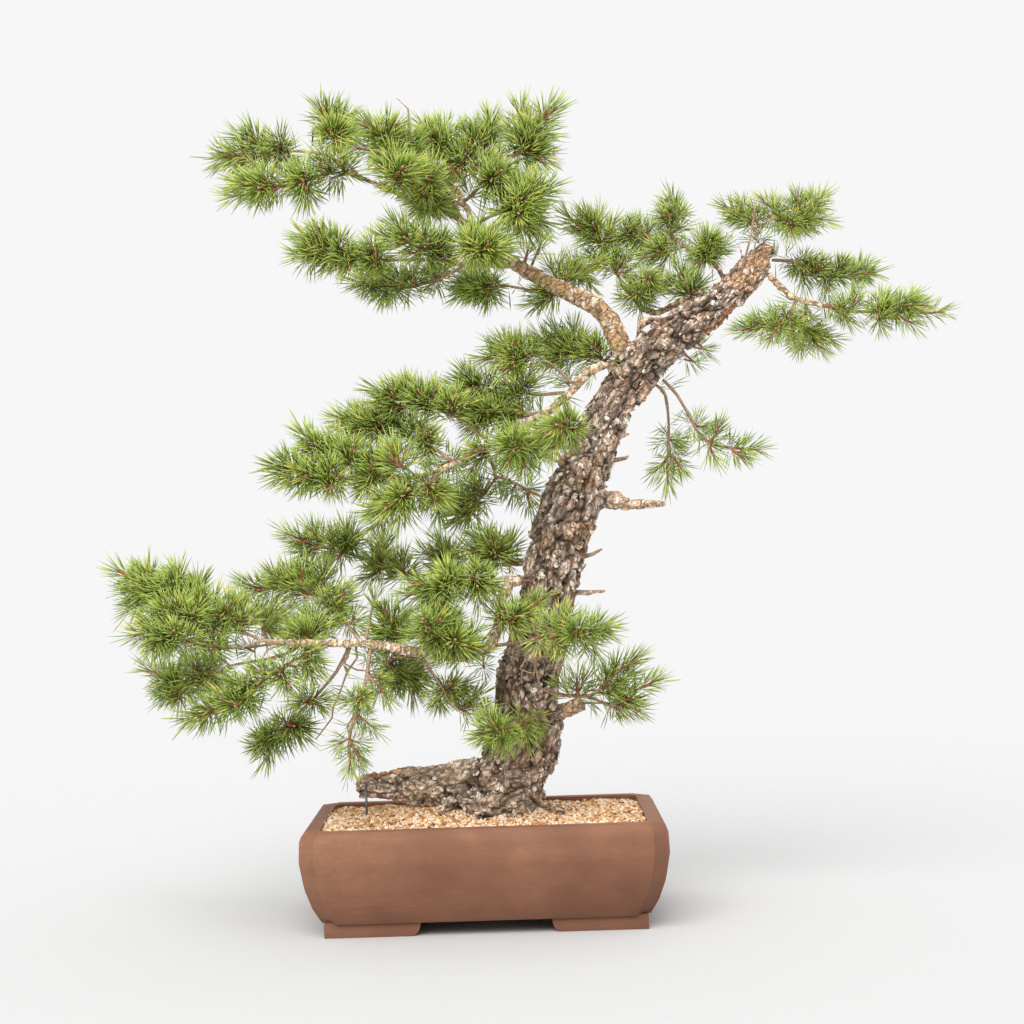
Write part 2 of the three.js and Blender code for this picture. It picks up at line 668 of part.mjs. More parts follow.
spray('low_tip', 'lowLimb', [
  [-70, [[290, 643], [265, 641], [240, 630], [210, 615], [180, 597], [143, 587]]],
  [-150, [[245, 632], [222, 630], [195, 622], [160, 617]]],
  [-190, [[262, 640], [240, 650], [205, 643], [163, 638]]],
  [20, [[266, 641], [264, 630], [262, 620]]],
], [
  [113, 568, 0], [124, 592, -25], [138, 570, 30], [178, 566, 25], [155, 601, -25], [203, 598, -25],
  [200, 581, 30], [228, 606, -30], [125, 612, 0], [142, 625, -25], [166, 606, -30], [193, 614, -30],
  [130, 632, 0], [150, 648, -20], [176, 630, -35], [214, 657, 20], [208, 634, -35], [270, 609, -40],
  [241, 595, 10], [284, 617, 20],
]);
spray('low_middle', 'lowLimb', [
  [-60, [[306, 643], [308, 634], [314, 630]]],
], [[309, 619, -40], [333, 624, 0], [291, 628, 10]]);
spray('low_back', 'lowLimb', [
  [60, [[362, 643], [345, 622], [325, 602], [303, 592], [287, 586]]],
], [
  [273, 576, -20], [258, 570, 20], [240, 585, 0], [296, 573, 25], [308, 562, -10], [326, 561, 25],
  [345, 589, -25], [338, 607, -30],
]);
spray('low_under', 'lowLimb', [
  [30, [[302, 643], [288, 655], [258, 661], [232, 664], [205, 675], [170, 687]]],
], [
  [143, 668, 0], [145, 692, -25], [160, 674, 25], [180, 702, -35], [205, 688, -25], [190, 662, 25],
  [218, 698, 10],
]);
spray('low_under_front', 'lowLimb', [
  [-190, [[334, 645], [310, 652], [285, 666], [262, 682], [240, 705], [212, 715]]],
], [[182, 718, 0], [250, 697, 25], [238, 684, 0], [290, 688, -25], [312, 675, -35], [225, 700, -20]]);
spray('low_hanging', 'lowLimb', [
  [0, [[350, 643], [345, 662], [322, 690], [300, 712], [283, 728], [268, 743]]],
], [[253, 748, -30], [266, 760, 0], [304, 700, -25], [300, 735, -10], [284, 741, 20]]);
spray('low_rise', 'lowLimb', [
  [-165, [[466, 654], [460, 646], [448, 638], [433, 630]]],
], [
  [421, 618, -40], [436, 603, 15], [450, 620, 10], [413, 637, -20], [456, 642, -45], [474, 635, 0],
  [440, 651, -25],
]);
spray('low_rise_left', 'lowLimb', [
  [-60, [[402, 648], [397, 636], [392, 627]]],
], [[383, 606, -40], [376, 633, 0], [405, 617, 20], [363, 622, 20]]);
spray('low_inner', 'lowLimb', [
  [30, [[388, 647], [386, 662], [396, 672], [406, 677]]],
], [[394, 664, 20], [420, 669, 10], [414, 690, 0], [392, 690, -20]]);
spray('low_drop', 'lowLimb', [
  [-60, [[418, 653], [430, 668], [441, 686], [455, 706], [470, 714]]],
], [[452, 685, -25], [466, 683, 15], [436, 702, 20], [490, 705, 0], [484, 692, -35]]);
spray('low_long_drop', 'lowLimb', [
  [-170, [[372, 645], [368, 665], [364, 690], [356, 712], [349, 735], [350, 754]]],
], [[350, 768, 0], [363, 766, -20], [362, 695, -40], [345, 700, 10], [392, 701, 0], [377, 730, 10]]);

spray('front_upper', 'lowLimb', [
  [-215, [[492, 646], [512, 645], [532, 638], [560, 633], [588, 640]]],
], [[612, 622, 0], [579, 623, -20], [563, 616, 25], [560, 650, -30], [598, 653, 10]]);
spray('front_rise', 'lowLimb', [
  [-150, [[499, 622], [506, 624], [514, 622]]],
], [[545, 598, 0], [532, 612, -20], [502, 610, -30]]);
spray('front_right', 'trunk', [
  [-150, [[526, 678], [545, 688], [560, 696], [585, 696], [603, 689]]],
  [-110, [[588, 695], [606, 705], [622, 707]]],
], [[577, 676, -20], [636, 672, 20], [660, 678, 0], [640, 655, -10], [642, 710, 0], [622, 690, -30]]);
spray('front_low', 'trunk', [
  [-170, [[532, 708], [540, 712], [525, 722], [510, 727], [499, 731]]],
], [[475, 739, -30], [490, 720, 0], [506, 746, 10], [527, 737, -10]]);

// Growing the sprays. Every bar is raised from a face of what carries it, so a spray is one closed body.

const barSides = 3;
const rootRadius = 3.1;
const mainRadius = 2.9;
const forkRadius = 2.2;
const stemTipRadius = 1.8;
const stemSlack = 2.4; // half the room a stem needs
const needleGap = 0.25;
const steepest = 0.12; // how far a shoot's heading must turn from the surface that it leaves
const shootSlack = 2;
const shootLeave = 12;
const capLean = 1.4;
const lowerLean = THREE.MathUtils.degToRad(22); // how far a shoot's needles lean towards its tip
const upperLean = THREE.MathUtils.degToRad(44);
const steeper = THREE.MathUtils.degToRad(14);
const needleSways = [0.1, 0.25, 0.35, 0.45, 0.2, 0.3, 0.5, 0.6];
const forkLeaves = [10, 14, 19, 25];
const soilClear = 14;
const whorlSpacing = 20;
const whorlHalf = 2.6;
const bends = [0, 14, -14, 28, -28, 42, -42, 58, -58, 75, -75];
const tipMoves = [0, 12, -12, 24, -24, 38, -38, 54, -54];
const clearStep = 12; // length of the pieces in which a curve is tried for room
const boneLength = 14;
const ringSpacing = 60;
const ringRoom = 12; // least length of stem between two of its rings
const whorlShoots = 3;
const shootRise = 0.16; // how straight a shoot leaves its stem, as a share of its reach
const shootRelax = 0.62; // how far the rest of its way straightens towards its tip
const shootLift = 3;
const mostNeedle = 0.4; // largest share of a shoot's reach that is left to its needles
const outerTuftStep = 7; // length of shoot from one ring of needles to the next
const innerTuftStep = 9;
const lowestTuft = 0.2;
const tuftSwell = 1.15;
const tuftTaper = 0.25;
const shortestNeedle = 0.86; // share of the full needle length
const needles = [];

function clearOfBones(from, to, radius, skip) {
  return bones.every((bone) => {
    if (skip(bone)) return true;
    const reach = radius + bone.radius + clearGap;
    if (boxesApart(from, to, bone.from, bone.to, reach)) return true;
    return pieceDistance(from, to, bone.from, bone.to).gap > reach;
  });
}

function curveClear(curve, radius, fromLength, skip) {
  const length = curve.getLength();
  const pieces = Math.max(3, Math.round(length / clearStep));
  const points = curve.getSpacedPoints(pieces);
  for (let i = 0; i < pieces; i += 1) {
    const far = (i / pieces) * length >= fromLength;
    if (far && !clearOfBones(points[i], points[i + 1], radius, skip)) return false;
  }
  return true;
}

// How far a stem must run from its parent's middle before it counts as outside
function leaveLength(start) {
  const inside = bones.filter((bone) => bone.owner === 'wood'
    && pieceDistance(start, start.clone().setZ(start.z + 0.01), bone.from, bone.to).gap < bone.radius);
  return inside.reduce((most, bone) => Math.max(most, bone.radius), 3) * 1.5 + 6;
}

function stemCurve(owner, parentCurve, course, tipDepth, away) {
  const start = nearestDepth(parentCurve, ...course[0]);
  let curve = null;
  for (const bend of bends) {
    const points = course.map(([across, down], i) => {
      if (i === 0) return start;
      const share = i / (course.length - 1);
      const depth = THREE.MathUtils.lerp(start.y, tipDepth, share);
      return inView(across, down, depth + bend * Math.sin(Math.PI * Math.min(share, 0.85)));
    });
    curve = new THREE.CatmullRomCurve3(points, false, 'centripetal');
    if (curveClear(curve, stemSlack, away, (bone) => bone.owner === owner)) return curve;
  }
  return curve;
}

// A bar raised from a face: rings of three points that follow the curve at the given shares
function raiseBar(body, face, curve, shares, radiusAt) {
  const [first] = face.corners;
  const tangent = curve.getTangentAt(shares[0]);
  const middle = faceMiddle(body, face);
  const arm = body.points[first].clone().sub(middle);
  let side = arm.addScaledVector(tangent, -arm.dot(tangent)).normalize();
  let corners = face.corners;
  let rest = [];
  const made = [];
  const count = body.points.length;
  for (const [i, share] of shares.entries()) {
    const along = curve.getTangentAt(share);
    side = side.clone().addScaledVector(along, -side.dot(along)).normalize();
    const other = along.clone().cross(side);
    const centre = curve.getPointAt(share);
    const radius = radiusAt(share);
    const next = [];
    for (let k = 0; k < barSides; k += 1) {
      const angle = (k / barSides) * Math.PI * 2;
      next.push(body.points.length);
      body.points.push(centre.clone()
        .addScaledVector(side, Math.cos(angle) * radius)
        .addScaledVector(other, Math.sin(angle) * radius));
    }
    rest = [];
    for (let k = 0; k < barSides; k += 1) {
      const l = (k + 1) % barSides;
      rest.push({ corners: [corners[k], corners[l], next[l]], ring: i, side: k, share });
      rest.push({ corners: [corners[k], next[l], next[k]], ring: i, side: k, share });
    }
    made.push(...rest);
    corners = next;
  }
  const cap = { corners, ring: shares.length, side: -1, share: 1 };
  if (crossesItself(body, [...made, cap], face)) {
    body.points.length = count;
    return null;
  }
  body.faces.splice(body.faces.indexOf(face), 1);
  body.faces.push(...made, cap);
  return { made, cap };
}

// Whether the straight line from p to q passes through the triangle a, b, c
function passesThrough(p, q, a, b, c) {
  const line = q.clone().sub(p);
  const first = b.clone().sub(a);
  const second = c.clone().sub(a);
  const across = line.clone().cross(second);
  const size = first.dot(across);
  if (Math.abs(size) < 1e-9) return false;
  const from = p.clone().sub(a);
  const u = from.dot(across) / size;
  const turned = from.cross(first);
  const v = line.dot(turned) / size;
  const run = second.dot(turned) / size;
  return u > 0 && v > 0 && u + v < 1 && run > 0 && run < 1;
}

// Whether new faces would cut through a spray's other faces
function crossesItself(body, added, replaced) {
  const spot = (corner) => body.points[corner];
  const boxOf = (face) => new THREE.Box3().setFromPoints(face.corners.map(spot));
  const edgesOf = ({ corners: [a, b, c] }) => [[a, b], [b, c], [c, a]];
  const cut = (edges, face) => edges.some(([from, to]) => !face.corners.includes(from)
    && !face.corners.includes(to) && passesThrough(spot(from), spot(to), ...face.corners.map(spot)));
  const whole = new THREE.Box3();
  for (const face of added) whole.union(boxOf(face));
  const near = body.faces.filter((face) => face !== replaced && boxOf(face).intersectsBox(whole));
  return added.some((face) => {
    const box = boxOf(face);
    return [...near, ...added].some((other) => other !== face && boxOf(other).intersectsBox(box)
      && (cut(edgesOf(face), other) || cut(edgesOf(other), face)));
  });
}

function faceMiddle(body, face) {
  const [a, b, c] = face.corners.map((corner) => body.points[corner]);
  return a.clone().add(b).add(c).divideScalar(3);
}

function faceNormal(body, face) {
  const [a, b, c] = face.corners.map((corner) => body.points[corner]);
  return b.clone().sub(a).cross(c.clone().sub(a)).normalize();
}

// The start of a spray: a flat triangle inside the wood, from which its main stem is raised
function newBody(curve, radius) {
  const centre = curve.getPointAt(0);
  const along = curve.getTangentAt(0);
  const side = new THREE.Vector3(0.3, 1, 0.2).cross(along).normalize();
  const other = along.clone().cross(side);
  const points = [0, 1, 2].map((k) => centre.clone()
    .addScaledVector(side, Math.cos((k / 3) * Math.PI * 2) * radius)
    .addScaledVector(other, Math.sin((k / 3) * Math.PI * 2) * radius));
  const front = { corners: [0, 1, 2] };
  const back = { corners: [0, 2, 1] };
  return { body: { points, faces: [front, back] }, front };
}

// Rings of a stem: a few along its run, and a close pair wherever something leaves it
function stemShares(curve, whorls) {
  const length = curve.getLength();
  const half = whorlHalf / length;
  const shares = whorls.flatMap((share) => [share - half, share + half]);
  const regular = Math.max(1, Math.round(length / ringSpacing));
  for (let i = 1; i <= regular; i += 1) {
    const share = i / regular;
    const hasRoom = shares.every((other) => Math.abs(other - share) * length > ringRoom);
    if (i === regular || hasRoom) shares.push(share);
  }
  return shares.sort((a, b) => a - b);
}

function snapToWhorl(share, length) {
  const fromTip = Math.round(((1 - share) * length) / whorlSpacing);
  const snapped = 1 - (fromTip * whorlSpacing) / length;
  return fromTip === 0 ? 1 : Math.max(snapped, Math.min(14 / length, 0.5));
}

// A shoot leaves the nearest stem of its spray a little back from its own tip, one from the stem's end
// and up to three from each whorl
function shootPlace(stems, [across, down], taken) {
  let best = null;
  for (const stem of stems) {
    for (const [i, point] of stem.curve.getSpacedPoints(60).entries()) {
      const gap = point.distanceTo(inView(across, down, point.y));
      if (i > 8 && (!best || gap < best.gap)) best = { gap, stem, share: i / 60 };
    }
  }
  const length = best.stem.curve.getLength();
  const back = Math.min(0.4 * best.gap, 0.5 * best.share * length) / length;
  let share = snapToWhorl(best.share - back, length);
  const isHere = (place) => place.stem === best.stem && Math.abs(place.share - share) < 1e-6;
  const crowd = () => taken.filter(isHere);
  while (crowd().length >= (share === 1 ? 1 : whorlShoots)) share -= (whorlSpacing / 2) / length;
  taken.push({ stem: best.stem, share });
  return { stem: best.stem, share };
}

function freeFaces(stem, share) {
  if (share === 1) return stem.cap.used ? [] : [stem.cap];
  const half = (whorlHalf * 1.2) / stem.curve.getLength();
  return stem.made.filter((face) => !face.used && Math.abs(face.share - half / 1.2 - share) < half * 0.5
    && !stem.made.some((other) => other.used && other.ring === face.ring && other.side === face.side));
}

function shootCurves(owner, body, face, [across, down, aside]) {
  const start = faceMiddle(body, face);
  const normal = faceNormal(body, face);
  const curves = [];
  for (const move of tipMoves) {
    const tip = inView(across, down, start.y + aside + move);
    const heading = tip.clone().sub(start).normalize();
    tip.addScaledVector(heading, -Math.min(needleReach, start.distanceTo(tip) * mostNeedle));
    const reach = start.distanceTo(tip);
    if (heading.dot(normal) > steepest) {
      const middle = start.clone().addScaledVector(normal, reach * shootRise)
        .lerp(start.clone().lerp(tip, 0.5), shootRelax).addScaledVector(normal, shootLift);
      const curve = new THREE.QuadraticBezierCurve3(start, middle, tip);
      const skip = (bone) => bone.owner === owner && (!bone.shoot || bone.low);
      if (curveClear(curve, shootSlack, shootLeave, skip)) curves.push(curve);
    }
  }
  return curves;
}

function needleClear(shoot, root, tip, rootRadius) {
  if (tip.z < soilHeight(tip.x, tip.y) + soilClear && Math.abs(tip.y) < potHalfDepth) return false;
  const bonesClear = bones.every((bone) => {
    if (bone.shoot === shoot) return true;
    if (boxesApart(root, tip, bone.from, bone.to, rootRadius + bone.radius + clearGap)) return true;
    const { gap, s } = pieceDistance(root, tip, bone.from, bone.to);
    return gap > rootRadius * (1 - s) + bone.radius + clearGap;
  });
  return bonesClear && needles.every((other) => {
    if (other.shoot === shoot) return true;
    if (boxesApart(root, tip, other.root, other.tip, rootRadius + other.radius)) return true;
    const { gap, s, t } = pieceDistance(root, tip, other.root, other.tip);
    return gap > rootRadius * (1 - s) + other.radius * (1 - t) + needleGap;
  });
}

// Raises one needle from a face, leaning towards the shoot's tip; the face stays flat if it has no room
function raiseNeedle(body, face, shoot, along, lean) {
  const root = faceMiddle(body, face);
  const rootRadius = Math.max(...face.corners.map((corner) => body.points[corner].distanceTo(root)));
  const normal = faceNormal(body, face);
  for (const sway of needleSways) {
    const way = normal.clone().multiplyScalar(Math.cos(lean)).addScaledVector(along, Math.sin(lean));
    way.x += (random() - 0.5) * sway;
    way.y += (random() - 0.5) * sway;
    way.z += (random() - 0.5) * sway;
    const length = needleLength * THREE.MathUtils.lerp(shortestNeedle, 1, random());
    const tip = root.clone().addScaledVector(way.normalize(), length);
    const [a, b, c] = face.corners;
    const top = body.points.length;
    body.points.push(tip);
    const sides = [{ corners: [a, b, top] }, { corners: [b, c, top] }, { corners: [c, a, top] }];
    if (needleClear(shoot, root, tip, rootRadius) && !crossesItself(body, sides, face)) {
      needles.push({ shoot, root, tip, radius: rootRadius });
      body.faces.splice(body.faces.indexOf(face), 1);
      body.faces.push(...sides);
      return;
    }
    body.points.pop();
  }
}

// Rings of a shoot: an outer shoot has one more, so that it carries more needles
function raiseShootBar(body, face, curve, outer) {
  const length = curve.getLength();
  const tuft = outer ? 2 : 1;
  const step = outer ? outerTuftStep : innerTuftStep;
  const shareAt = (i) => Math.max(1 - ((tuft - i) * step) / length, lowestTuft);
  const shares = Array.from({ length: tuft + 1 }, (_, i) => shareAt(i));
  const radiusAt = (share) => needleStemRadius * (share < 0.5 ? 1 : tuftSwell - tuftTaper * (share - 0.5));
  return raiseBar(body, face, curve, shares, radiusAt);
}

function raiseNeedles(body, shoot, { made, cap }, curve) {
  const along = curve.getTangentAt(1);
  const last = cap.ring - 1;
  raiseNeedle(body, cap, shoot, along, capLean);
  for (const part of made) {
    if (part.ring > 0) {
      const upper = part.corners[2] > part.corners[1];
      const lean = (part.ring === last ? upperLean : lowerLean) + (upper ? steeper : 0);
      raiseNeedle(body, part, shoot, along, lean);
    }
  }
}

// Raises a side stem from the whorl face that looks its way and lets it pass clear of the main stem
function raiseFork(body, main, fork, forkShare) {
  const length = fork.curve.getLength();
  const heading = fork.curve.getPointAt(Math.min(12 / length, 0.4))
    .sub(main.curve.getPointAt(forkShare)).normalize();
  const fit = (face) => faceNormal(body, face).dot(heading);
  const faces = freeFaces(main, forkShare).sort((one, other) => fit(other) - fit(one));
  for (const leave of forkLeaves) {
    const first = Math.min(leave / length, 0.4);
    const later = stemShares(fork.curve, [...fork.whorls]).filter((share) => share > first + 0.02);
    for (const face of faces) {
      const bar = raiseBar(body, face, fork.curve, [first, ...later], fork.radiusAt);
      if (bar) {
        face.used = true;
        return bar;
      }
    }
  }
  return { made: [], cap: { used: true } };
}

// Raises a shoot's bar from the free face that fits it best
function raiseSomewhere(name, body, shoot, { stem, share }) {
  const target = inView(shoot[0], shoot[1], stem.curve.getPointAt(share).y + shoot[2]);
  const fit = (face) => faceNormal(body, face).dot(target.clone().sub(faceMiddle(body, face)).normalize());
  const faces = freeFaces(stem, share).sort((one, other) => fit(other) - fit(one));
  for (const face of faces) {
    for (const curve of shootCurves(name, body, face, shoot)) {
      const bar = raiseShootBar(body, face, curve, shoot[2] === 0);
      if (bar) {
        face.used = true;
        return { bar, curve };
      }
    }
  }
  return null;
}

function growSprays(fatWood) {
  const planned = sprays.map(({ name, parent, stems, shoots }) => {
    const made = [];
    for (const [depth, course] of stems) {
      const main = made[0];
      const from = main ? main.curve : branchCurves[parent];
      const away = main ? 10 : leaveLength(nearestDepth(from, ...course[0]));
      const curve = stemCurve(name, from, course, depth, away);
      const baseRadius = main ? forkRadius : mainRadius;
      const radiusAt = (share) => THREE.MathUtils.lerp(baseRadius, stemTipRadius, share);
      addBones(name, curve, radiusAt, Math.round(curve.getLength() / boneLength) + 2, main ? 0 : away * 0.6);
      made.push({ curve, radiusAt, whorls: new Set() });
    }
    return { name, stems: made, shoots };
  });
  const sprouted = planned.map(({ name, stems, shoots }) => {
    const [main, ...forks] = stems;
    const forkShares = forks.map(({ curve }) => {
      const start = curve.getPointAt(0);
      const points = main.curve.getSpacedPoints(100);
      const near = points.reduce((best, point, i) => (
        point.distanceTo(start) < points[best].distanceTo(start) ? i : best), 0);
      return Math.min(snapToWhorl(near / 100, main.curve.getLength()), 1 - 10 / main.curve.getLength());
    });
    for (const share of forkShares) main.whorls.add(share);
    const taken = forkShares.map((share) => ({ stem: main, share }));
    const places = shoots.map((shoot) => shootPlace(stems, shoot, taken));
    for (const { stem, share } of places) if (share < 1) stem.whorls.add(share);
    const { body, front } = newBody(main.curve, rootRadius);
    const mainShares = stemShares(main.curve, [...main.whorls]);
    Object.assign(main, raiseBar(body, front, main.curve, mainShares, main.radiusAt));
    for (const [i, fork] of forks.entries()) {
      Object.assign(fork, raiseFork(body, main, fork, forkShares[i]));
    }
    const kept = [];
    for (const [i, shoot] of shoots.entries()) {
      const raised = raiseSomewhere(name, body, shoot, places[i]);
      if (raised) {
        const key = `${name}.${i}`;
        kept.push({ ...raised, key });
        const before = bones.length;
        addBones(name, raised.curve, () => needleStemRadius * 1.1, 4);
        bones.slice(before).forEach((bone, k) => {
          bone.shoot = key;
          bone.low = k < 2;
        });
      }
    }
    return { name, body, kept };
  });
  return sprouted.map(({ name, body, kept }) => {
    for (const { key, bar, curve } of kept) raiseNeedles(body, key, bar, curve);
    const shape = new THREE.BufferGeometry();
    const places = body.points.flatMap((point) => [point.x, point.y, point.z]);
    shape.setAttribute('position', new THREE.Float32BufferAttribute(places, 3));
    shape.setIndex(body.faces.flatMap((face) => face.corners));
    return { name, solid: largestPiece(solidOf(shape).subtract(fatWood)) };
  });
}

// Tie-down peg beside the long root: a thin rod with a hook of wire at its top
const pegPlace = [-176, -30];
const pegTop = 208;
const pegLength = 80;
const pegRadius = 1.8;
const hookRadius = 1.3;
const rodSides = 7;
const hookSides = 5;
const hookRings = 6;

function pegRod(radius) {
  const rod = new THREE.CylinderGeometry(radius, radius, pegLength, rodSides);
  rod.rotateX(Math.PI / 2);
  rod.translate(...pegPlace, pegTop - pegLength / 2);
  return solidOf(rod);
}

function makePeg() {
  const [x, y] = pegPlace;
  const hook = new THREE.CatmullRomCurve3([
    new THREE.Vector3(x, y, pegTop - 9),
    new THREE.Vector3(x + 2, y - 1, pegTop + 3),
    new THREE.Vector3(x + 11, y - 3, pegTop + 5),
    new THREE.Vector3(x + 17, y - 4, pegTop - 3),
  ]);
  return pegRod(pegRadius).add(solidOf(bentBar(hook, () => hookRadius, hookSides, hookRings)));
}

const object = new THREE.Group();
const wood = makeWood(0);
const fatWood = makeWood(seatGap);

object.add(meshOf('pot', makePot(), finish(0x96664e, 0.75)));
object.add(meshOf('soil', makeSoil([fatWood, pegRod(pegRadius + 2 * seatGap)]), finish(0xc9a878, 0.95)));
object.add(meshOf('wood', wood, finish(0x6f5b4c, 0.9)));
object.add(meshOf('tie_peg', makePeg(), finish(0x6d6f70, 0.45)));
for (const { name, solid } of growSprays(fatWood)) {
  object.add(meshOf(name, solid, finish(0x4f7d31, 0.6)));
}

// Stand the tree's box on the origin
const box = new THREE.Box3().setFromObject(object);
const middle = box.getCenter(new THREE.Vector3());
object.position.set(-middle.x, -middle.y, -box.min.z);

export default object;
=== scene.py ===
import math
import random

import bmesh
import bpy
import numpy as np
from mathutils import Matrix, Vector, noise
from mathutils.bvhtree import BVHTree


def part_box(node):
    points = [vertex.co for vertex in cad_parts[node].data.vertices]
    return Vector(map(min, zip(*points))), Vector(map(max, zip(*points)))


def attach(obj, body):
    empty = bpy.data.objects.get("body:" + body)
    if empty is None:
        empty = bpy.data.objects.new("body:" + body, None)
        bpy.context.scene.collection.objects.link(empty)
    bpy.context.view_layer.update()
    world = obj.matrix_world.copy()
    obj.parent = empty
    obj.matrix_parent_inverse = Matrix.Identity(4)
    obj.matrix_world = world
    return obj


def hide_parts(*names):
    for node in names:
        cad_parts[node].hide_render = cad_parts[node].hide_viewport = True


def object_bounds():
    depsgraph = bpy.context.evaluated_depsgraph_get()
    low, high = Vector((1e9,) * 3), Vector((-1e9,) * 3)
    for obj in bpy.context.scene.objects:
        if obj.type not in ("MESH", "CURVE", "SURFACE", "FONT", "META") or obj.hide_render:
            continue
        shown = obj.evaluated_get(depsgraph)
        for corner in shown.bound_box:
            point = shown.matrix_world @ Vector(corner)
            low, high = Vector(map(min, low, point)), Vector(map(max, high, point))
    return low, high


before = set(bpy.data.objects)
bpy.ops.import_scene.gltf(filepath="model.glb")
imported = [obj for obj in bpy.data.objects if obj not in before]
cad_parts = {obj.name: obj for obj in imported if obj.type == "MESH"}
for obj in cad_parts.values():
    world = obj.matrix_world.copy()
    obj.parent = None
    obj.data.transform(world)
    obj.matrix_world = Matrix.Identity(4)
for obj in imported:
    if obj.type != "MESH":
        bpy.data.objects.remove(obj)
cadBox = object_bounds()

# Scots pine bonsai in a stoneware pot. Metres, the tree seen from the front along +Y.

mm = 0.001
potLow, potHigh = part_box("pot")
potMiddle = (potLow + potHigh) / 2

# The front view. Courses are given across and down the view, in its units, with a depth in millimetres.
view = {
    "distance": 3.22,
    "height": 0.58,
    "side": 0.054,
    "lens": 75,
    "sensor": 36,
    "turn": 1.75,
    "frameSize": 1024,
    "middle": 512,
    "horizon": 530,
}


def inView(across, down, depth):
    focal = view["lens"] / view["sensor"] * view["frameSize"]
    turn = math.radians(view["turn"])
    perUnit = (view["distance"] + depth * mm) / focal
    u = across - view["middle"]
    v = down - view["horizon"]
    x = view["side"] + (u * math.cos(turn) - v * math.sin(turn)) * perUnit
    z = view["height"] - (u * math.sin(turn) + v * math.cos(turn)) * perUnit
    return Vector((potMiddle.x + x, potMiddle.y + depth * mm, z))


# Meshes


def asMesh(bm, name):
    mesh = bpy.data.meshes.new(name)
    bm.to_mesh(mesh)
    bm.free()
    return mesh


def asObject(bm, name, *materials, smooth=True):
    mesh = asMesh(bm, name)
    for material in materials:
        mesh.materials.append(material)
    mesh.polygons.foreach_set("use_smooth", [smooth] * len(mesh.polygons))
    piece = bpy.data.objects.new(name, mesh)
    bpy.context.scene.collection.objects.link(piece)
    return piece


def copyOfNode(node):
    bm = bmesh.new()
    bm.from_mesh(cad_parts[node].data)
    bmesh.ops.remove_doubles(bm, verts=bm.verts, dist=0.01 * mm)
    return bm


def applied(piece):
    # the piece with its modifiers made part of its mesh
    graph = bpy.context.evaluated_depsgraph_get()
    mesh = bpy.data.meshes.new_from_object(piece.evaluated_get(graph))
    piece.modifiers.clear()
    piece.data = mesh
    return piece


def smoothStep(low, high, value):
    share = np.clip((value - low) / (high - low), 0, 1)
    return share * share * (3 - 2 * share)


def mixed(low, high, share):
    return low + (high - low) * share


def turned(degrees, axis):
    return Matrix.Rotation(math.radians(degrees), 4, axis)


# The turn that brings +Z round to a direction
def facing(way):
    return way.to_track_quat("Z", "Y").to_matrix().to_4x4()


# A round tube through points, as rings bridged one to the next and closed at both ends
def addTube(bm, points, radii, sides, material=0):
    rings = []
    for i, point in enumerate(points):
        along = points[min(i + 1, len(points) - 1)] - points[max(i - 1, 0)]
        place = Matrix.Translation(point) @ facing(along)
        made = bmesh.ops.create_circle(bm, segments=sides, radius=radii[i], matrix=place)
        rings.append(list({edge for vert in made["verts"] for edge in vert.link_edges}))
    faces = []
    for lower, upper in zip(rings, rings[1:]):
        faces += bmesh.ops.bridge_loops(bm, edges=lower + upper)["faces"]
    for ring in (rings[0], rings[-1]):
        faces += bmesh.ops.contextual_create(bm, geom=ring)["faces"]
    for face in faces:
        face.material_index = material
        face.smooth = True
    return faces


def addCopy(bm, mesh, matrix):
    start = len(bm.verts)
    bm.from_mesh(mesh)
    bm.verts.ensure_lookup_table()
    added = bm.verts[start:]
    bmesh.ops.transform(bm, matrix=matrix, verts=added)
    return added


# Many placed copies of small meshes, a batch at a time, each copy with its own value of one attribute
def scatter(copies, attribute):
    bm = bmesh.new()
    batchSize = 150
    for start in range(0, len(copies), batchSize):
        batch = bmesh.new()
        layer = batch.verts.layers.float.new(attribute)
        for mesh, matrix, value in copies[start:start + batchSize]:
            for vert in addCopy(batch, mesh, matrix):
                vert[layer] = value
        part = asMesh(batch, "batch")
        bm.from_mesh(part)
        bpy.data.meshes.remove(part)
    return bm


# Materials


def toLinear(code):
    parts = [int(code[i:i + 2], 16) / 255 for i in (1, 3, 5)]
    return (*[p / 12.92 if p <= 0.04045 else ((p + 0.055) / 1.055) ** 2.4 for p in parts], 1)


def startMaterial(name):
    material = bpy.data.materials.new(name)
    material.use_nodes = True
    tree = material.node_tree
    return material, tree, tree.nodes["Principled BSDF"]


# Each input is a value, a hex colour or the output that feeds it
def setInputs(tree, node, inputs):
    for socket, value in inputs.items():
        if isinstance(value, bpy.types.NodeSocket):
            tree.links.new(value, node.inputs[socket])
        else:
            node.inputs[socket].default_value = toLinear(value) if isinstance(value, str) else value


def addNode(tree, kind, inputs=None, **settings):
    node = tree.nodes.new("ShaderNode" + kind)
    for name, value in settings.items():
        setattr(node, name, value)
    setInputs(tree, node, inputs or {})
    return node


# A pattern's scale for its real size in millimetres, where its coordinates are metres
def perMetre(size):
    return round(1 / (size * mm))


# and where its coordinates are millimetres, as they are along the trunk
def perMillimetre(*sizes):
    return tuple(round(1 / size, 3) for size in sizes)


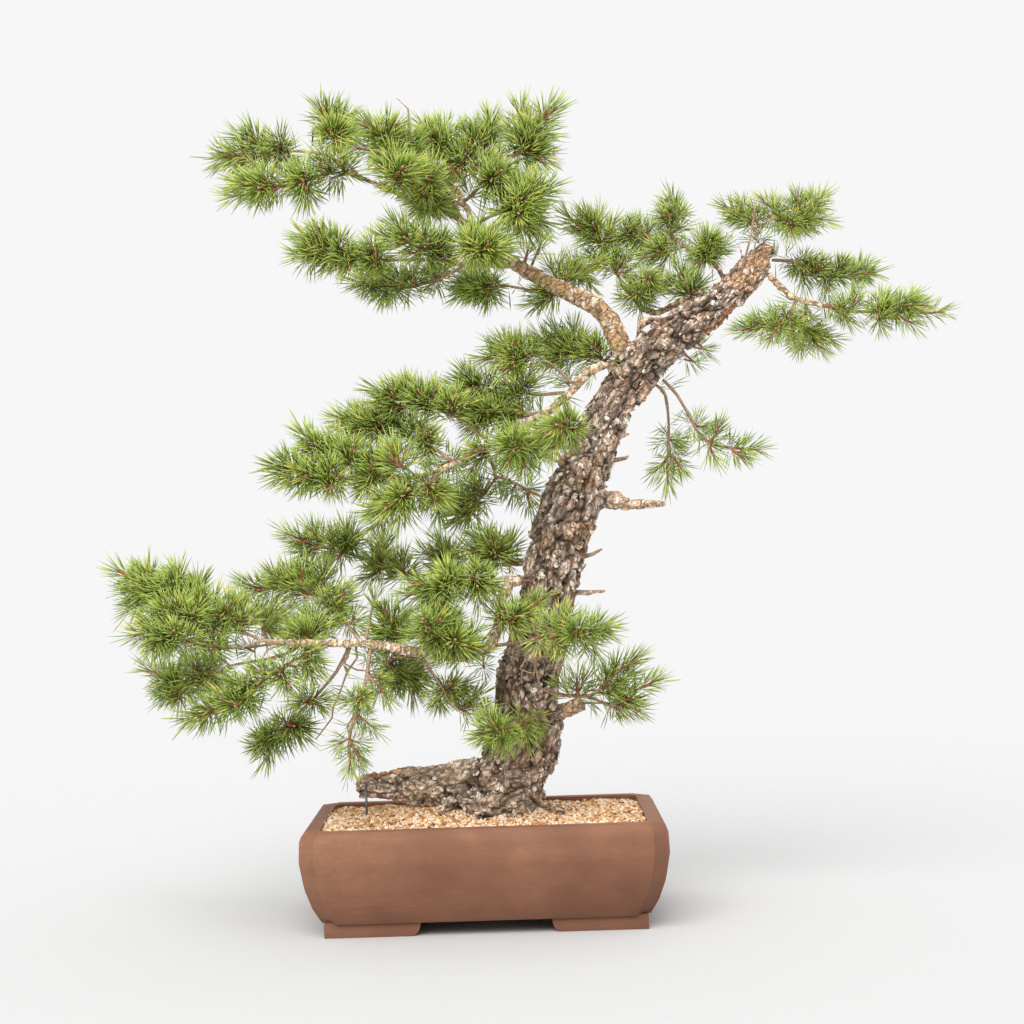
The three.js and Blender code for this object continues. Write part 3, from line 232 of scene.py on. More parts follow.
def makeBarkMaterial():
    # Old Scots pine bark, weathered: dry grey plates over fissures, rusty where chips broke off; painted
    # shade darkens the fissures, gaps and cracks.
    # Young bark on the limbs is thin and papery, tan low down and orange near the top.
    material, tree, shader = startMaterial("weathered pine bark")
    place = addNode(tree, "TexCoord").outputs["Object"]
    pattern = addNode(tree, "Attribute", attribute_name="pattern").outputs["Vector"]
    creviceShade, plate, young, warm, rust, cut = [
        addNode(tree, "Attribute", attribute_name=name).outputs["Fac"]
        for name in ("creviceShade", "plate", "young", "warm", "rust", "cut")]
    grain = addNode(tree, "Mapping", {"Vector": pattern, "Scale": perMillimetre(2.222, 2.222, 5)}).outputs[0]
    grit = addNode(tree, "TexNoise", {"Vector": grain, "Scale": 1, "Detail": 5, "Roughness": 0.7}).outputs[0]
    layers = addNode(tree, "Mapping", {"Vector": pattern, "Scale": perMillimetre(5, 5, 9.09)}).outputs[0]
    chips = addNode(tree, "TexVoronoi", {"Vector": layers, "Scale": 1, "Randomness": 1})
    chipTone = addNode(tree, "SeparateColor", {0: chips.outputs["Color"]}).outputs[0]
    # cracks about 1 mm wide round the plates, made wavy by the grain; they dent the bump and are darkened
    # with painted shade
    wave = addNode(tree, "TexNoise", {"Vector": grain, "Detail": 3}).outputs[1]
    sway = addNode(tree, "VectorMath", {0: wave, "Scale": 0.5}, operation="SCALE").outputs[0]
    wide = addNode(tree, "Mapping", {"Vector": pattern, "Scale": perMillimetre(12.8, 12.8, 24)}).outputs[0]
    bent = addNode(tree, "VectorMath", {0: wide, 1: sway}, operation="ADD").outputs[0]
    edges = addNode(tree, "TexVoronoi", {"Vector": bent, "Scale": 1}, feature="DISTANCE_TO_EDGE").outputs[0]
    cracks = addNode(tree, "MapRange", {0: edges, 1: 0.015, 2: 0.055, 3: 0.6, 4: 0}).outputs[0]
    stain = addNode(tree, "TexNoise", {"Vector": place, "Scale": perMetre(45), "Detail": 3}).outputs[0]
    stained = addNode(tree, "MapRange", {0: stain, 1: 0.42, 2: 0.7, 3: 0, 4: 0.6}).outputs[0]
    rusty = addNode(tree, "MapRange", {0: chipTone, 1: 0.9, 2: 0.95, 3: 0, 4: 0.6}).outputs[0]
    level = addNode(tree, "Mix", {0: 0.5, 2: plate, 3: chipTone}).outputs[0]
    plates = addNode(tree, "ValToRGB", {0: level})
    plates.color_ramp.elements[0].color = toLinear("#84705f")
    plates.color_ramp.elements[1].color = toLinear("#fcf5ee")
    for step, code in ((0.3, "#b6a08e"), (0.5, "#d5c3b3"), (0.72, "#e9ddd1")):
        plates.color_ramp.elements.new(step).color = toLinear(code)
    tan, orange = [addNode(tree, "Mix", {0: level, 6: dark, 7: light}, data_type="RGBA").outputs[2]
                   for dark, light in (("#cdac8c", "#fff0e0"), ("#bb9670", "#fae4cb"))]
    thin = addNode(tree, "Mix", {0: warm, 6: tan, 7: orange}, data_type="RGBA").outputs[2]
    dry = plates.outputs[0]
    for mask, over in ((stained, "#bd9570"), (rusty, "#c98658"), (young, thin), (rust, "#dd9460")):
        dry = addNode(tree, "Mix", {0: mask, 6: dry, 7: over}, data_type="RGBA").outputs[2]
    shade = addNode(tree, "MapRange", {0: grit, 1: 0.36, 2: 0.6, 3: 0.6, 4: 1.72}).outputs[0]
    gritty = addNode(tree, "VectorMath", {0: dry, "Scale": shade}, operation="SCALE").outputs[0]
    # painted shade: the gaps, fissures and cracks are darkened towards a near-black brown
    paintedCreviceShade = addNode(tree, "Math", {0: creviceShade, 1: 0.97}, operation="MULTIPLY").outputs[0]
    deep = addNode(tree, "Math", {0: paintedCreviceShade, 1: cracks}, operation="MAXIMUM").outputs[0]
    dark = addNode(tree, "Mix", {0: deep, 6: gritty, 7: "#2f231b"}, data_type="RGBA").outputs[2]
    # bare wood of the cut ends, grey low down and torn into orange splinters near the top
    splinters = addNode(tree, "TexNoise", {"Vector": grain, "Scale": 1.6, "Detail": 3}).outputs[0]
    rings = addNode(tree, "MapRange", {0: splinters, 1: 0.38, 2: 0.64}).outputs[0]
    grey, torn = [addNode(tree, "Mix", {0: rings, 6: low, 7: high}, data_type="RGBA").outputs[2]
                  for low, high in (("#9c7a5c", "#dcc4a6"), ("#96603f", "#ecd0ae"))]
    ends = addNode(tree, "Mix", {0: warm, 6: grey, 7: torn}, data_type="RGBA").outputs[2]
    colour = addNode(tree, "Mix", {0: cut, 6: dark, 7: ends}, data_type="RGBA").outputs[2]
    chipped = addNode(tree, "Mix", {0: 0.5, 2: grit, 3: chipTone}).outputs[0]
    relief = addNode(tree, "Math", {0: chipped, 1: cracks}, operation="SUBTRACT").outputs[0]
    bump = addNode(tree, "Bump", {"Height": relief, "Strength": 0.8, "Distance": 2 * mm})
    setInputs(tree, shader, {"Base Color": colour, "Roughness": 0.9, "Specular IOR Level": 0.2,
                             "Normal": bump.outputs[0]})
    return material


def makeTwigMaterial():
    # Pine twig: this year's growth is smooth and orange-brown, older growth dull tan with dark leaf scars
    material, tree, shader = startMaterial("pine twig bark")
    place = addNode(tree, "TexCoord").outputs["Object"]
    fresh = addNode(tree, "Attribute", attribute_name="fresh").outputs["Fac"]
    scars = addNode(tree, "TexNoise", {"Vector": place, "Scale": perMetre(2.38), "Detail": 3,
                                       "Roughness": 0.6}).outputs[0]
    patch = addNode(tree, "TexNoise", {"Vector": place, "Scale": perMetre(42), "Detail": 2}).outputs[0]
    patchy = addNode(tree, "MapRange", {0: patch, 1: 0.35, 2: 0.65}).outputs[0]
    scarred = addNode(tree, "MapRange", {0: scars, 1: 0.62, 2: 0.45, 3: 0, 4: 0.6}).outputs[0]
    colour = addNode(tree, "Mix", {0: patchy, 6: "#ad8a6c", 7: "#dfc2a4"}, data_type="RGBA").outputs[2]
    for mask, over in ((fresh, "#c97a52"), (scarred, "#5a3d2e")):
        colour = addNode(tree, "Mix", {0: mask, 6: colour, 7: over}, data_type="RGBA").outputs[2]
    bump = addNode(tree, "Bump", {"Height": scars, "Strength": 0.6, "Distance": 0.8 * mm})
    setInputs(tree, shader, {"Base Color": colour, "Roughness": 0.78, "Normal": bump.outputs[0]})
    return material


def makeNeedleMaterial():
    # Live pine needles: a waxy skin over green flesh, brown at the sheath and paler at the tip
    material, tree, shader = startMaterial("waxy pine needle")
    along, tone, vigourAndShade = [addNode(tree, "Attribute", attribute_name=name).outputs["Fac"]
                           for name in ("along", "tone", "vigourAndShade")]
    bright, deep = [addNode(tree, "Mix", {0: tone, 6: dark, 7: light}, data_type="RGBA").outputs[2]
                    for dark, light in (("#94b03a", "#d4e474"), ("#5c762a", "#a0b64c"))]
    # the needles go from dull to bright green with vigour: random from shoot to shoot, and lowered as
    # painted shade on the old needles inside the crown and on the young tufts
    colour = addNode(tree, "Mix", {0: vigourAndShade, 6: deep, 7: bright}, data_type="RGBA").outputs[2]
    # over the green: a few old yellow needles, the tips and the sheaths
    coats = ((tone, 0.91, 0.95, 0.85, "#dcd060"), (along, 0.6, 1, 0.4, "#d8e094"),
             (along, 0.12, 0, 0.9, "#8a6a42"))
    for spread, start, end, most, over in coats:
        mask = addNode(tree, "MapRange", {0: spread, 1: start, 2: end, 3: 0, 4: most}).outputs[0]
        colour = addNode(tree, "Mix", {0: mask, 6: colour, 7: over}, data_type="RGBA").outputs[2]
    setInputs(tree, shader, {"Base Color": colour, "Roughness": 0.45, "Specular IOR Level": 0.3})
    return material


def makeBudMaterial():
    # Resting pine bud: overlapping papery scales, pinkish under a film of pale resin
    material, tree, shader = startMaterial("resinous pine bud")
    place = addNode(tree, "TexCoord").outputs["Object"]
    scales = addNode(tree, "TexVoronoi", {"Vector": place, "Scale": perMetre(1.111)}).outputs[0]
    colour = addNode(tree, "Mix", {0: scales, 6: "#b06a52", 7: "#ecc9bd"}, data_type="RGBA").outputs[2]
    setInputs(tree, shader, {"Base Color": colour, "Roughness": 0.5})
    return material


def makeStonewareMaterial():
    # Unglazed brown stoneware, pressed and sponged: faint level drag marks, cloudy firing, small iron specks
    material, tree, shader = startMaterial("unglazed brown stoneware")
    place = addNode(tree, "TexCoord").outputs["Object"]
    height = addNode(tree, "SeparateXYZ", {0: place}).outputs[2]
    streak, drawn = perMetre(2.63), perMetre(38)
    level = addNode(tree, "Mapping", {"Vector": place, "Scale": (drawn, drawn, streak)}).outputs[0]
    drag = addNode(tree, "TexNoise", {"Vector": level, "Scale": 1, "Detail": 6, "Roughness": 0.6}).outputs[0]
    cloud = addNode(tree, "TexNoise", {"Vector": place, "Scale": perMetre(110), "Detail": 4}).outputs[0]
    fired = addNode(tree, "TexNoise", {"Vector": place, "Scale": perMetre(24), "Detail": 5,
                                       "Roughness": 0.65}).outputs[0]
    specks = addNode(tree, "TexVoronoi", {"Vector": place, "Scale": perMetre(3.85)}).outputs[0]
    dragged = addNode(tree, "MapRange", {0: drag, 1: 0.3, 2: 0.7}).outputs[0]
    colour = addNode(tree, "Mix", {0: dragged, 6: "#8a5d45", 7: "#95694f"}, data_type="RGBA").outputs[2]
    # over the drag marks: cloudy firing at two sizes, the wall darker towards the bottom, and small iron
    # specks
    coats = ((cloud, 0.42, 0.68, 0.75, "#6f4734"), (fired, 0.4, 0.68, 0.5, "#7c5644"),
             (height, 0.12, 0.02, 0.4, "#5e3a2b"), (specks, 0.09, 0.04, 0.6, "#4b3226"))
    for spread, start, end, most, over in coats:
        mask = addNode(tree, "MapRange", {0: spread, 1: start, 2: end, 3: 0, 4: most}).outputs[0]
        colour = addNode(tree, "Mix", {0: mask, 6: colour, 7: over}, data_type="RGBA").outputs[2]
    bump = addNode(tree, "Bump", {"Height": drag, "Strength": 0.3, "Distance": 0.6 * mm})
    setInputs(tree, shader, {"Base Color": colour, "Roughness": 0.68, "Specular IOR Level": 0.35,
                             "Normal": bump.outputs[0]})
    return material


def makeGrainMaterial():
    # Crushed fired clay and pumice: dry dusty grains, cream to ochre, with a few dark ones
    material, tree, shader = startMaterial("fired clay grit")
    place = addNode(tree, "TexCoord").outputs["Object"]
    tone = addNode(tree, "Attribute", attribute_name="grain").outputs["Fac"]
    clays = addNode(tree, "ValToRGB", {0: tone})
    clays.color_ramp.elements[0].color = toLinear("#6a4a34")
    clays.color_ramp.elements[1].color = toLinear("#fff6e6")
    for step, code in ((0.05, "#8a603c"), (0.1, "#b47e4a"), (0.28, "#d39f68"), (0.5, "#e8c292"),
                       (0.72, "#f6e0c0")):
        clays.color_ramp.elements.new(step).color = toLinear(code)
    pores = addNode(tree, "TexNoise", {"Vector": place, "Scale": perMetre(1.111), "Detail": 3}).outputs[0]
    porous = addNode(tree, "MapRange", {0: pores, 1: 0.6, 2: 0.35, 3: 0, 4: 0.3}).outputs[0]
    clay = clays.outputs[0]
    colour = addNode(tree, "Mix", {0: porous, 6: clay, 7: "#a57d50"}, data_type="RGBA").outputs[2]
    setInputs(tree, shader, {"Base Color": colour, "Roughness": 0.95})
    return material


def makeSoilBedMaterial():
    # The same grit below the top layer, seen only between the grains, so it is painted darker as shade
    material, tree, shader = startMaterial("fired clay grit in painted shade")
    place = addNode(tree, "TexCoord").outputs["Object"]
    cells = addNode(tree, "TexVoronoi", {"Vector": place, "Scale": perMetre(4.76)}).outputs[0]
    colour = addNode(tree, "Mix", {0: cells, 6: "#deb484", 7: "#a0764e"}, data_type="RGBA").outputs[2]
    setInputs(tree, shader, {"Base Color": colour, "Roughness": 0.95})
    return material


def makeWireMaterial():
    # Galvanised steel wire, drawn and weathered: dull grey with faint blotches
    material, tree, shader = startMaterial("galvanised steel wire")
    place = addNode(tree, "TexCoord").outputs["Object"]
    blotch = addNode(tree, "TexNoise", {"Vector": place, "Scale": perMetre(3.85), "Detail": 3}).outputs[0]
    colour = addNode(tree, "Mix", {0: blotch, 6: "#4b4c4d", 7: "#8d8f8e"}, data_type="RGBA").outputs[2]
    setInputs(tree, shader, {"Base Color": colour, "Metallic": 1.0, "Roughness": 0.5})
    return material


barkMaterial = makeBarkMaterial()
twigMaterial = makeTwigMaterial()
needleMaterial = makeNeedleMaterial()
budMaterial = makeBudMaterial()
print("materials made")


# Pot

pot = {
    "footHeight": 20,          # all in millimetres, angles in degrees
    # height, half length and half depth of the outside
    "wall": [(20, 238, 156), (42, 250, 168), (72, 260, 178), (112, 266.5, 185), (143, 265, 183.5),
             (152, 261, 179.5), (155.6, 257, 175.5)],
    "levels": 16,
    "levelsCrowd": 0.85,       # below 1 there are more of them near the rim
    "lip": 20,                 # the inside's first level below the rim
    "insideLevels": (112, 72),
    "cornerCut": 22,
    "cornerInset": 3.5,
    "wallThickness": 21,
    "floorThickness": 14,
    "insideRound": 16,
    "drainHoles": (12, 118),   # radius, and how far from the middle
    "drillLength": 60,
    "edge": 1.1,
    "sharp": 33,               # edges that turn more than this are rounded
    "creased": 40,             # and those that still do are shaded as edges
    "footAt": (234, 150),
    "footLegs": (139, 92),
    "footWidth": 24,
    "footCurl": 15,
    "footShoulder": 6,
    "footSunk": 2,             # into the wall
}


def wallAt(height):
    heights, halfLengths, halfDepths = zip(*pot["wall"])
    return float(np.interp(height, heights, halfLengths)), float(np.interp(height, heights, halfDepths))


# The outside has a step at each corner and the inside a round, with the same number of points
def cornerPoints(halfLength, halfDepth, inside):
    if inside:
        reach = pot["insideRound"]
        turns = [math.radians(a) for a in (0, 30, 60, 90)]
        return [(halfLength - reach * (1 - math.cos(a)), halfDepth - reach * (1 - math.sin(a)))
                for a in turns]
    cut, inset = pot["cornerCut"], pot["cornerInset"]
    return [(halfLength, halfDepth - cut), (halfLength - inset, halfDepth - cut),
            (halfLength - cut, halfDepth - inset), (halfLength - cut, halfDepth)]


def addOutline(bm, halfLength, halfDepth, height, inside=False):
    corner = cornerPoints(halfLength, halfDepth, inside)
    back = corner[::-1]
    places = corner + [(-x, y) for x, y in back] + [(-x, -y) for x, y in corner] + [(x, -y) for x, y in back]
    verts = [bm.verts.new((potMiddle.x + x * mm, potMiddle.y + y * mm, height * mm)) for x, y in places]
    return [bm.edges.new((verts[i], verts[i - 1])) for i in range(len(verts))]


def addFoot(bm, acrossSign, depthSign):
    for leg, alongDepth in zip(pot["footLegs"], (False, True)):
        curl, top = pot["footCurl"], pot["footHeight"] + pot["footSunk"]
        arch = top - pot["footShoulder"]
        bend = [(leg - curl + curl * math.sin(a), arch - arch * math.cos(a))
                for a in [math.radians(15 * i) for i in range(7)]]
        start = pot["footWidth"] if alongDepth else 0
        profile = [(start, 0)] + bend + [(leg, top), (start, top)]
        verts = []
        for run, height in profile:
            x, y = (0, run) if alongDepth else (run, 0)
            verts.append(bm.verts.new((x - pot["footAt"][0], y - pot["footAt"][1], height)))
        face = bm.faces.new(verts)
        side = (pot["footWidth"], 0, 0) if alongDepth else (0, pot["footWidth"], 0)
        extruded = bmesh.ops.extrude_face_region(bm, geom=[face])["geom"]
        moved = [v for v in extruded if isinstance(v, bmesh.types.BMVert)]
        bmesh.ops.translate(bm, verts=moved, vec=side)
        place = Matrix.Translation((potMiddle.x, potMiddle.y, 0)) @ Matrix.Diagonal(
            (-acrossSign * mm, -depthSign * mm, mm, 1))
        bmesh.ops.transform(bm, matrix=place, verts=verts + moved)


def makeShell():
    bm = bmesh.new()
    low, high = pot["wall"][0][0], pot["wall"][-1][0]
    steps = [(i / pot["levels"]) ** pot["levelsCrowd"] for i in range(pot["levels"] + 1)]
    heights = [low + (high - low) * step for step in steps]
    outside = [addOutline(bm, *wallAt(h), h) for h in heights]
    thick = pot["wallThickness"]
    floor = pot["footHeight"] + pot["floorThickness"]
    insideHeights = [high, high - pot["lip"], *pot["insideLevels"], floor]
    inside = [addOutline(bm, wallAt(h)[0] - thick, wallAt(h)[1] - thick, h, True) for h in insideHeights]
    # the rim first: bridged between two finished walls it would be turned round
    for wall in ([outside[-1], inside[0]], inside, outside[::-1]):
        for one, other in zip(wall, wall[1:]):
            bmesh.ops.bridge_loops(bm, edges=one + other)
    for loop in (outside[0], inside[-1]):
        bmesh.ops.contextual_create(bm, geom=loop)
    bmesh.ops.recalc_face_normals(bm, faces=bm.faces)
    return asObject(bm, "stoneware_pot", makeStonewareMaterial())


def drillDrainHoles(shell):
    radius, aside = pot["drainHoles"]
    drill = bmesh.new()
    for side in (-1, 1):
        place = Matrix.Translation((potMiddle.x + side * aside * mm, potMiddle.y, pot["footHeight"] * mm))
        bmesh.ops.create_cone(drill, cap_ends=True, segments=40, radius1=radius * mm, radius2=radius * mm,
                              depth=pot["drillLength"] * mm, matrix=place)
    cutter = asObject(drill, "drain_drill")
    cut = shell.modifiers.new("drain holes", "BOOLEAN")
    cut.object = cutter
    cut.solver = "EXACT"
    applied(shell)
    bpy.data.objects.remove(cutter)


def softenEdges(bm, faces, width):
    bm.edges.index_update()
    edges = sorted({edge for face in faces for edge in face.edges}, key=lambda edge: edge.index)
    sharp = [e for e in edges if e.is_manifold and e.calc_face_angle() > math.radians(pot["sharp"])]
    bmesh.ops.bevel(bm, geom=sharp, offset=width, segments=2, profile=0.5, affect="EDGES", material=-1,
                    clamp_overlap=True)


def makePot():
    piece = makeShell()
    drillDrainHoles(piece)
    bm = bmesh.new()
    bm.from_mesh(piece.data)
    softenEdges(bm, bm.faces[:], pot["edge"] * mm)
    shellFaces = set(bm.faces)
    for acrossSign in (-1, 1):
        for depthSign in (-1, 1):
            addFoot(bm, acrossSign, depthSign)
    footFaces = [face for face in bm.faces if face not in shellFaces]
    bmesh.ops.recalc_face_normals(bm, faces=footFaces)
    softenEdges(bm, footFaces, pot["edge"] * mm)
    bm.to_mesh(piece.data)
    bm.free()
    piece.data.polygons.foreach_set("use_smooth", [True] * len(piece.data.polygons))
    piece.data.set_sharp_from_angle(angle=math.radians(pot["creased"]))
    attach(piece, "root")
    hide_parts("pot")
    print("pot", len(piece.data.polygons), "faces")


makePot()


# Wood: trunk, limbs, roots and stubs, with bark plates in real relief

bark = {
    "seed": 5,                 # unseeded, the noise would start from the clock and differ in every run
    "cell": 2.55,              # size of the mesh's cells
    "plate": (18, 18, 34),     # sizes across, in depth and along the trunk
    "chip": (5.8, 5.8, 12),
    "fissure": (40, 40, 95),
    "plateStep": 4.6,          # how far plates and chips differ in height
    "chipStep": 2.2,
    "plateGap": 3.0,
    "fissureDepth": 5.6,
    "limbChip": 8,
    "limbStep": 1.3,
    "limbGap": 0.9,
    "stand": (1.2, 0.8),       # how far young and old bark stand off the wood
    "roughness": (0.6, 1.3),   # and how rough they are
    "roughGrain": 190,         # how often in a metre
    "sway": [(21, 0.5), (75, 0.18)],  # how often in a metre the plates' outlines sway, and how far in plates
    "edges": {"plate": (0.02, 0.2), "fissure": (0, 0.12), "limb": (0.02, 0.25)},  # how gaps fade, in sizes
    "trunkReach": (1.12, 1.4),  # old bark gives way to young bark this far from the trunk's line, in radii
    "rootsBelow": 0.225,       # metres, old bark on all wood below this
    "rootsFade": 0.01,
    "rootPaleness": 0.85,      # the roots' bark is worn and paler than the trunk's
    "rootReach": (0.85, 1.15),
    "warmAt": (0.62, 0.85),    # heights over which the limbs turn orange
    "rustiness": 0.75,
    "draws": {"plate": 17.3, "chip": 23.7, "limb": 19.1},  # each draws other random tones
    "smoothing": (0.5, 6),     # strength and rounds, before the bark is raised
    # where the orange layer under the old bark shows: two places and the width between them
    "rusty": [((376, 773, 14), (398, 771, 20), 13), ((733, 310, -16), (704, 347, -8), 10)],
    "tornTop": ((740, 281, -26), (771, 244, -26), 16),  # the strip torn off with the trunk's lost top
}

# across, down, depth and width of the trunk
trunkLine = [
    (494, 842, 4, 168), (497, 815, 2, 168), (502, 798, 0, 142), (510, 780, 0, 112), (519, 755, -4, 116),
    (528, 730, -8, 114), (527, 700, -10, 98), (530, 670, -14, 96), (539, 640, -18, 93), (548, 600, -18, 87),
    (555, 560, -12, 86), (565, 520, -4, 94), (579, 485, 6, 87), (588, 460, 12, 76), (601, 430, 16, 73),
    (617, 400, 16, 66), (645, 364, 8, 72), (672, 337, 0, 68), (692, 323, -4, 64), (722, 300, -6, 58),
    (745, 276, -10, 48), (771, 246, -12, 31),
]

endFace = {
    "reach": 1.3,              # in radii
    "behind": 2.5,             # how far behind the end's point its face still counts
    "facing": 0.45,
    "creviceShade": 0.3,
    "relief": 0.5,
}

# cut or torn ends: a point on the end face, a point behind it, and the face's radius in millimetres
cutEnds = [
    ((771, 246, -12), (745, 276, -10), 20),
    ((665, 504, -40), (645, 504, -38), 9),
    ((582, 703, -62), (556, 714, -50), 15),
    ((533, 652, -84), (536, 668, -70), 16),
    ((605, 591, -26), (590, 593, -24), 6),
    ((699, 288, -22), (700, 300, -20), 6),
    ((357, 790, 22), (380, 788, 20), 20),
]


def trunkPlaces(points):
    # for each point: the run along the trunk, the way across it, the gap to its line and its radius there
    line = np.array([inView(*stop[:3]) for stop in trunkLine])
    widths = np.array([stop[3] for stop in trunkLine]) * mm
    spans = line[1:] - line[:-1]
    lengths = np.linalg.norm(spans, axis=1)
    starts = np.concatenate([[0], np.cumsum(lengths)])[:-1]
    best = np.full(len(points), 1e9)
    run = np.zeros(len(points))
    aside = np.zeros(len(points))
    reach = np.zeros(len(points))
    for i, (start, span, length) in enumerate(zip(line, spans, lengths)):
        share = np.clip(((points - start) @ span) / length ** 2, 0, 1)
        offset = points - (start + share[:, None] * span)
        gap = np.linalg.norm(offset, axis=1)
        nearer = gap < best
        best[nearer] = gap[nearer]
        run[nearer] = (starts[i] + share * length)[nearer]
        sideways = np.cross(span / length, (0, 1, 0))
        aside[nearer] = (offset @ sideways)[nearer]
        reach[nearer] = mixed(widths[i], widths[i + 1], share)[nearer] / 2
    return run, aside, best, reach


def nearLine(points, start, end):
    # how far each point is from the straight line between two places in the view
    first, last = np.array(inView(*start)), np.array(inView(*end))
    span = last - first
    share = np.clip(((points - first) @ span) / (span @ span), 0, 1)
    return np.linalg.norm(points - first - share[:, None] * span, axis=1)


def barkRelief(place, pattern, onTrunk):
    # relief in millimetres, how far down in the bark's gaps it is, which sets the painted shade there, and
    # the plate's own random tone
    sway = sum((noise.noise_vector(place * often) * far for often, far in bark["sway"]), Vector())
    gaps, middles = noise.voronoi(Vector([p / size for p, size in zip(pattern, bark["plate"])]) + sway)
    split = 1 - float(smoothStep(*bark["edges"]["plate"], gaps[1] - gaps[0]))
    tone = noise.cell(middles[0] * bark["draws"]["plate"])
    wide = noise.voronoi(Vector([p / size for p, size in zip(pattern, bark["fissure"])]) + sway * 0.7)[0]
    fissure = 1 - float(smoothStep(*bark["edges"]["fissure"], wide[1] - wide[0]))
    chips = noise.voronoi(Vector([p / size for p, size in zip(pattern, bark["chip"])]) + sway * 1.5)[1]
    chip = noise.cell(chips[0] * bark["draws"]["chip"])
    rough = noise.fractal(place * bark["roughGrain"], 0.8, 2.0, 3)
    limbStand, trunkStand = bark["stand"]
    limbRough, trunkRough = [rough * most for most in bark["roughness"]]
    trunk = trunkStand + (tone - 0.5) * bark["plateStep"] + (chip - 0.5) * bark["chipStep"] + trunkRough
    trunk -= bark["plateGap"] * split * (0.4 + 0.6 * chip) + bark["fissureDepth"] * fissure
    limbGaps, limbMiddles = noise.voronoi(place / (bark["limbChip"] * mm) + sway)
    limbSplit = 1 - float(smoothStep(*bark["edges"]["limb"], limbGaps[1] - limbGaps[0]))
    limbTone = noise.cell(limbMiddles[0] * bark["draws"]["limb"])
    limb = limbStand + (limbTone - 0.5) * bark["limbStep"] + limbRough - bark["limbGap"] * limbSplit
    # the painted shade's strength: the plate gaps, fissures and low chips on the trunk, the gaps between
    # chips on the limbs
    low = min(max(0.35 - chip - rough * 0.4, 0), 0.35)
    creviceShade = mixed(limbSplit * 0.4, max(split * 0.75, fissure * 0.95, low), onTrunk)
    plate = mixed(limbTone, min(max(tone * 0.5 + chip * 0.5, 0), 1), onTrunk)
    return mixed(limb, trunk, onTrunk), min(creviceShade, 1), plate


def barkedMesh(mesh):
    count = len(mesh.vertices)
    points = np.array([v.co for v in mesh.vertices])
    normals = np.array([v.normal for v in mesh.vertices])
    run, aside, gap, reach = trunkPlaces(points)
    rootsBelow, fade = bark["rootsBelow"], bark["rootsFade"]
    onRoots = 1 - smoothStep(rootsBelow - fade, rootsBelow + fade, points[:, 2])
    onTrunk = np.maximum(1 - smoothStep(*bark["trunkReach"], gap / reach), onRoots)
    depth = points[:, 1] - potMiddle.y
    trunkPattern = np.stack([aside, depth, run], axis=1)
    rootPattern = points[:, [2, 1, 0]]
    patterns = np.where(onRoots[:, None] > 0.5, rootPattern, trunkPattern) / mm
    worn = onRoots * smoothStep(*bark["rootReach"], gap / reach)
    young = np.maximum(1 - onTrunk, bark["rootPaleness"] * worn)
    warm = smoothStep(*bark["warmAt"], points[:, 2])
    rust = np.zeros(count)
    for start, end, radius in bark["rusty"]:
        rust[nearLine(points, start, end) < radius * mm] = bark["rustiness"]
    start, end, radius = bark["tornTop"]
    cut = (nearLine(points, start, end) < radius * mm) * 1.0
    made = [barkRelief(Vector(points[i]), patterns[i], float(onTrunk[i])) for i in range(count)]
    moves, creviceShade, plate = (np.array(column) for column in zip(*made))
    creviceShade[cut > 0] *= 0.4
    for end, behind, radius in cutEnds:
        middle = np.array(inView(*end))
        way = middle - np.array(inView(*behind))
        way = way / np.linalg.norm(way)
        near = np.linalg.norm(points - middle, axis=1) < radius * endFace["reach"] * mm
        ahead = (points - middle) @ way > -endFace["behind"] * mm
        faced = near & ahead & (normals @ way > endFace["facing"])
        cut[faced] = 1
        creviceShade[faced] *= endFace["creviceShade"]
        moves[faced] *= endFace["relief"]
    moved = points + normals * moves[:, None] * mm
    mesh.vertices.foreach_set("co", moved.ravel())
    layers = {"creviceShade": creviceShade, "plate": plate, "young": young, "warm": warm, "rust": rust, "cut": cut}
    for name, values in layers.items():
        mesh.attributes.new(name, "FLOAT", "POINT").data.foreach_set("value", values.astype(np.float32))
    layer = mesh.attributes.new("pattern", "FLOAT_VECTOR", "POINT")
    layer.data.foreach_set("vector", patterns.astype(np.float32).ravel())
    mesh.update()
    return moved, normals, onTrunk


flake = {
    "count": 1500,
    "variants": 9,
    "size": (2.2, 6.4),
    "stretch": (1, 1.7),       # its length and thickness, in sizes
    "thickening": (0.7, 1.2),
    "thickness": 0.24,
    "corners": 5,
    "cornerReach": (0.5, 1.2),
    "topShift": 0.12,
    "topShare": 0.85,
    "spin": 0.7,               # how far it strays from the trunk's run, in radians
    "lift": (8, 48),           # degrees off the trunk
    "sunk": 0.1,
    "tone": (0.15, 0.85),
}


def makeFlakeMesh(seed):
    # a thin chip of bark with a broken outline, its face across +Z
    rand = random.Random(seed)
    bm = bmesh.new()
    bmesh.ops.create_circle(bm, cap_ends=True, segments=flake["corners"], radius=1)
    for vert in bm.verts:
        vert.co *= rand.uniform(*flake["cornerReach"])
    raised = bmesh.ops.extrude_face_region(bm, geom=bm.faces[:])["geom"]
    top = [v for v in raised if isinstance(v, bmesh.types.BMVert)]
    bmesh.ops.translate(bm, verts=top, vec=(flake["topShift"], 0, flake["thickness"]))
    bmesh.ops.scale(bm, verts=top, vec=(flake["topShare"], flake["topShare"], 1))
    bmesh.ops.recalc_face_normals(bm, faces=bm.faces)
    return asMesh(bm, "flake")


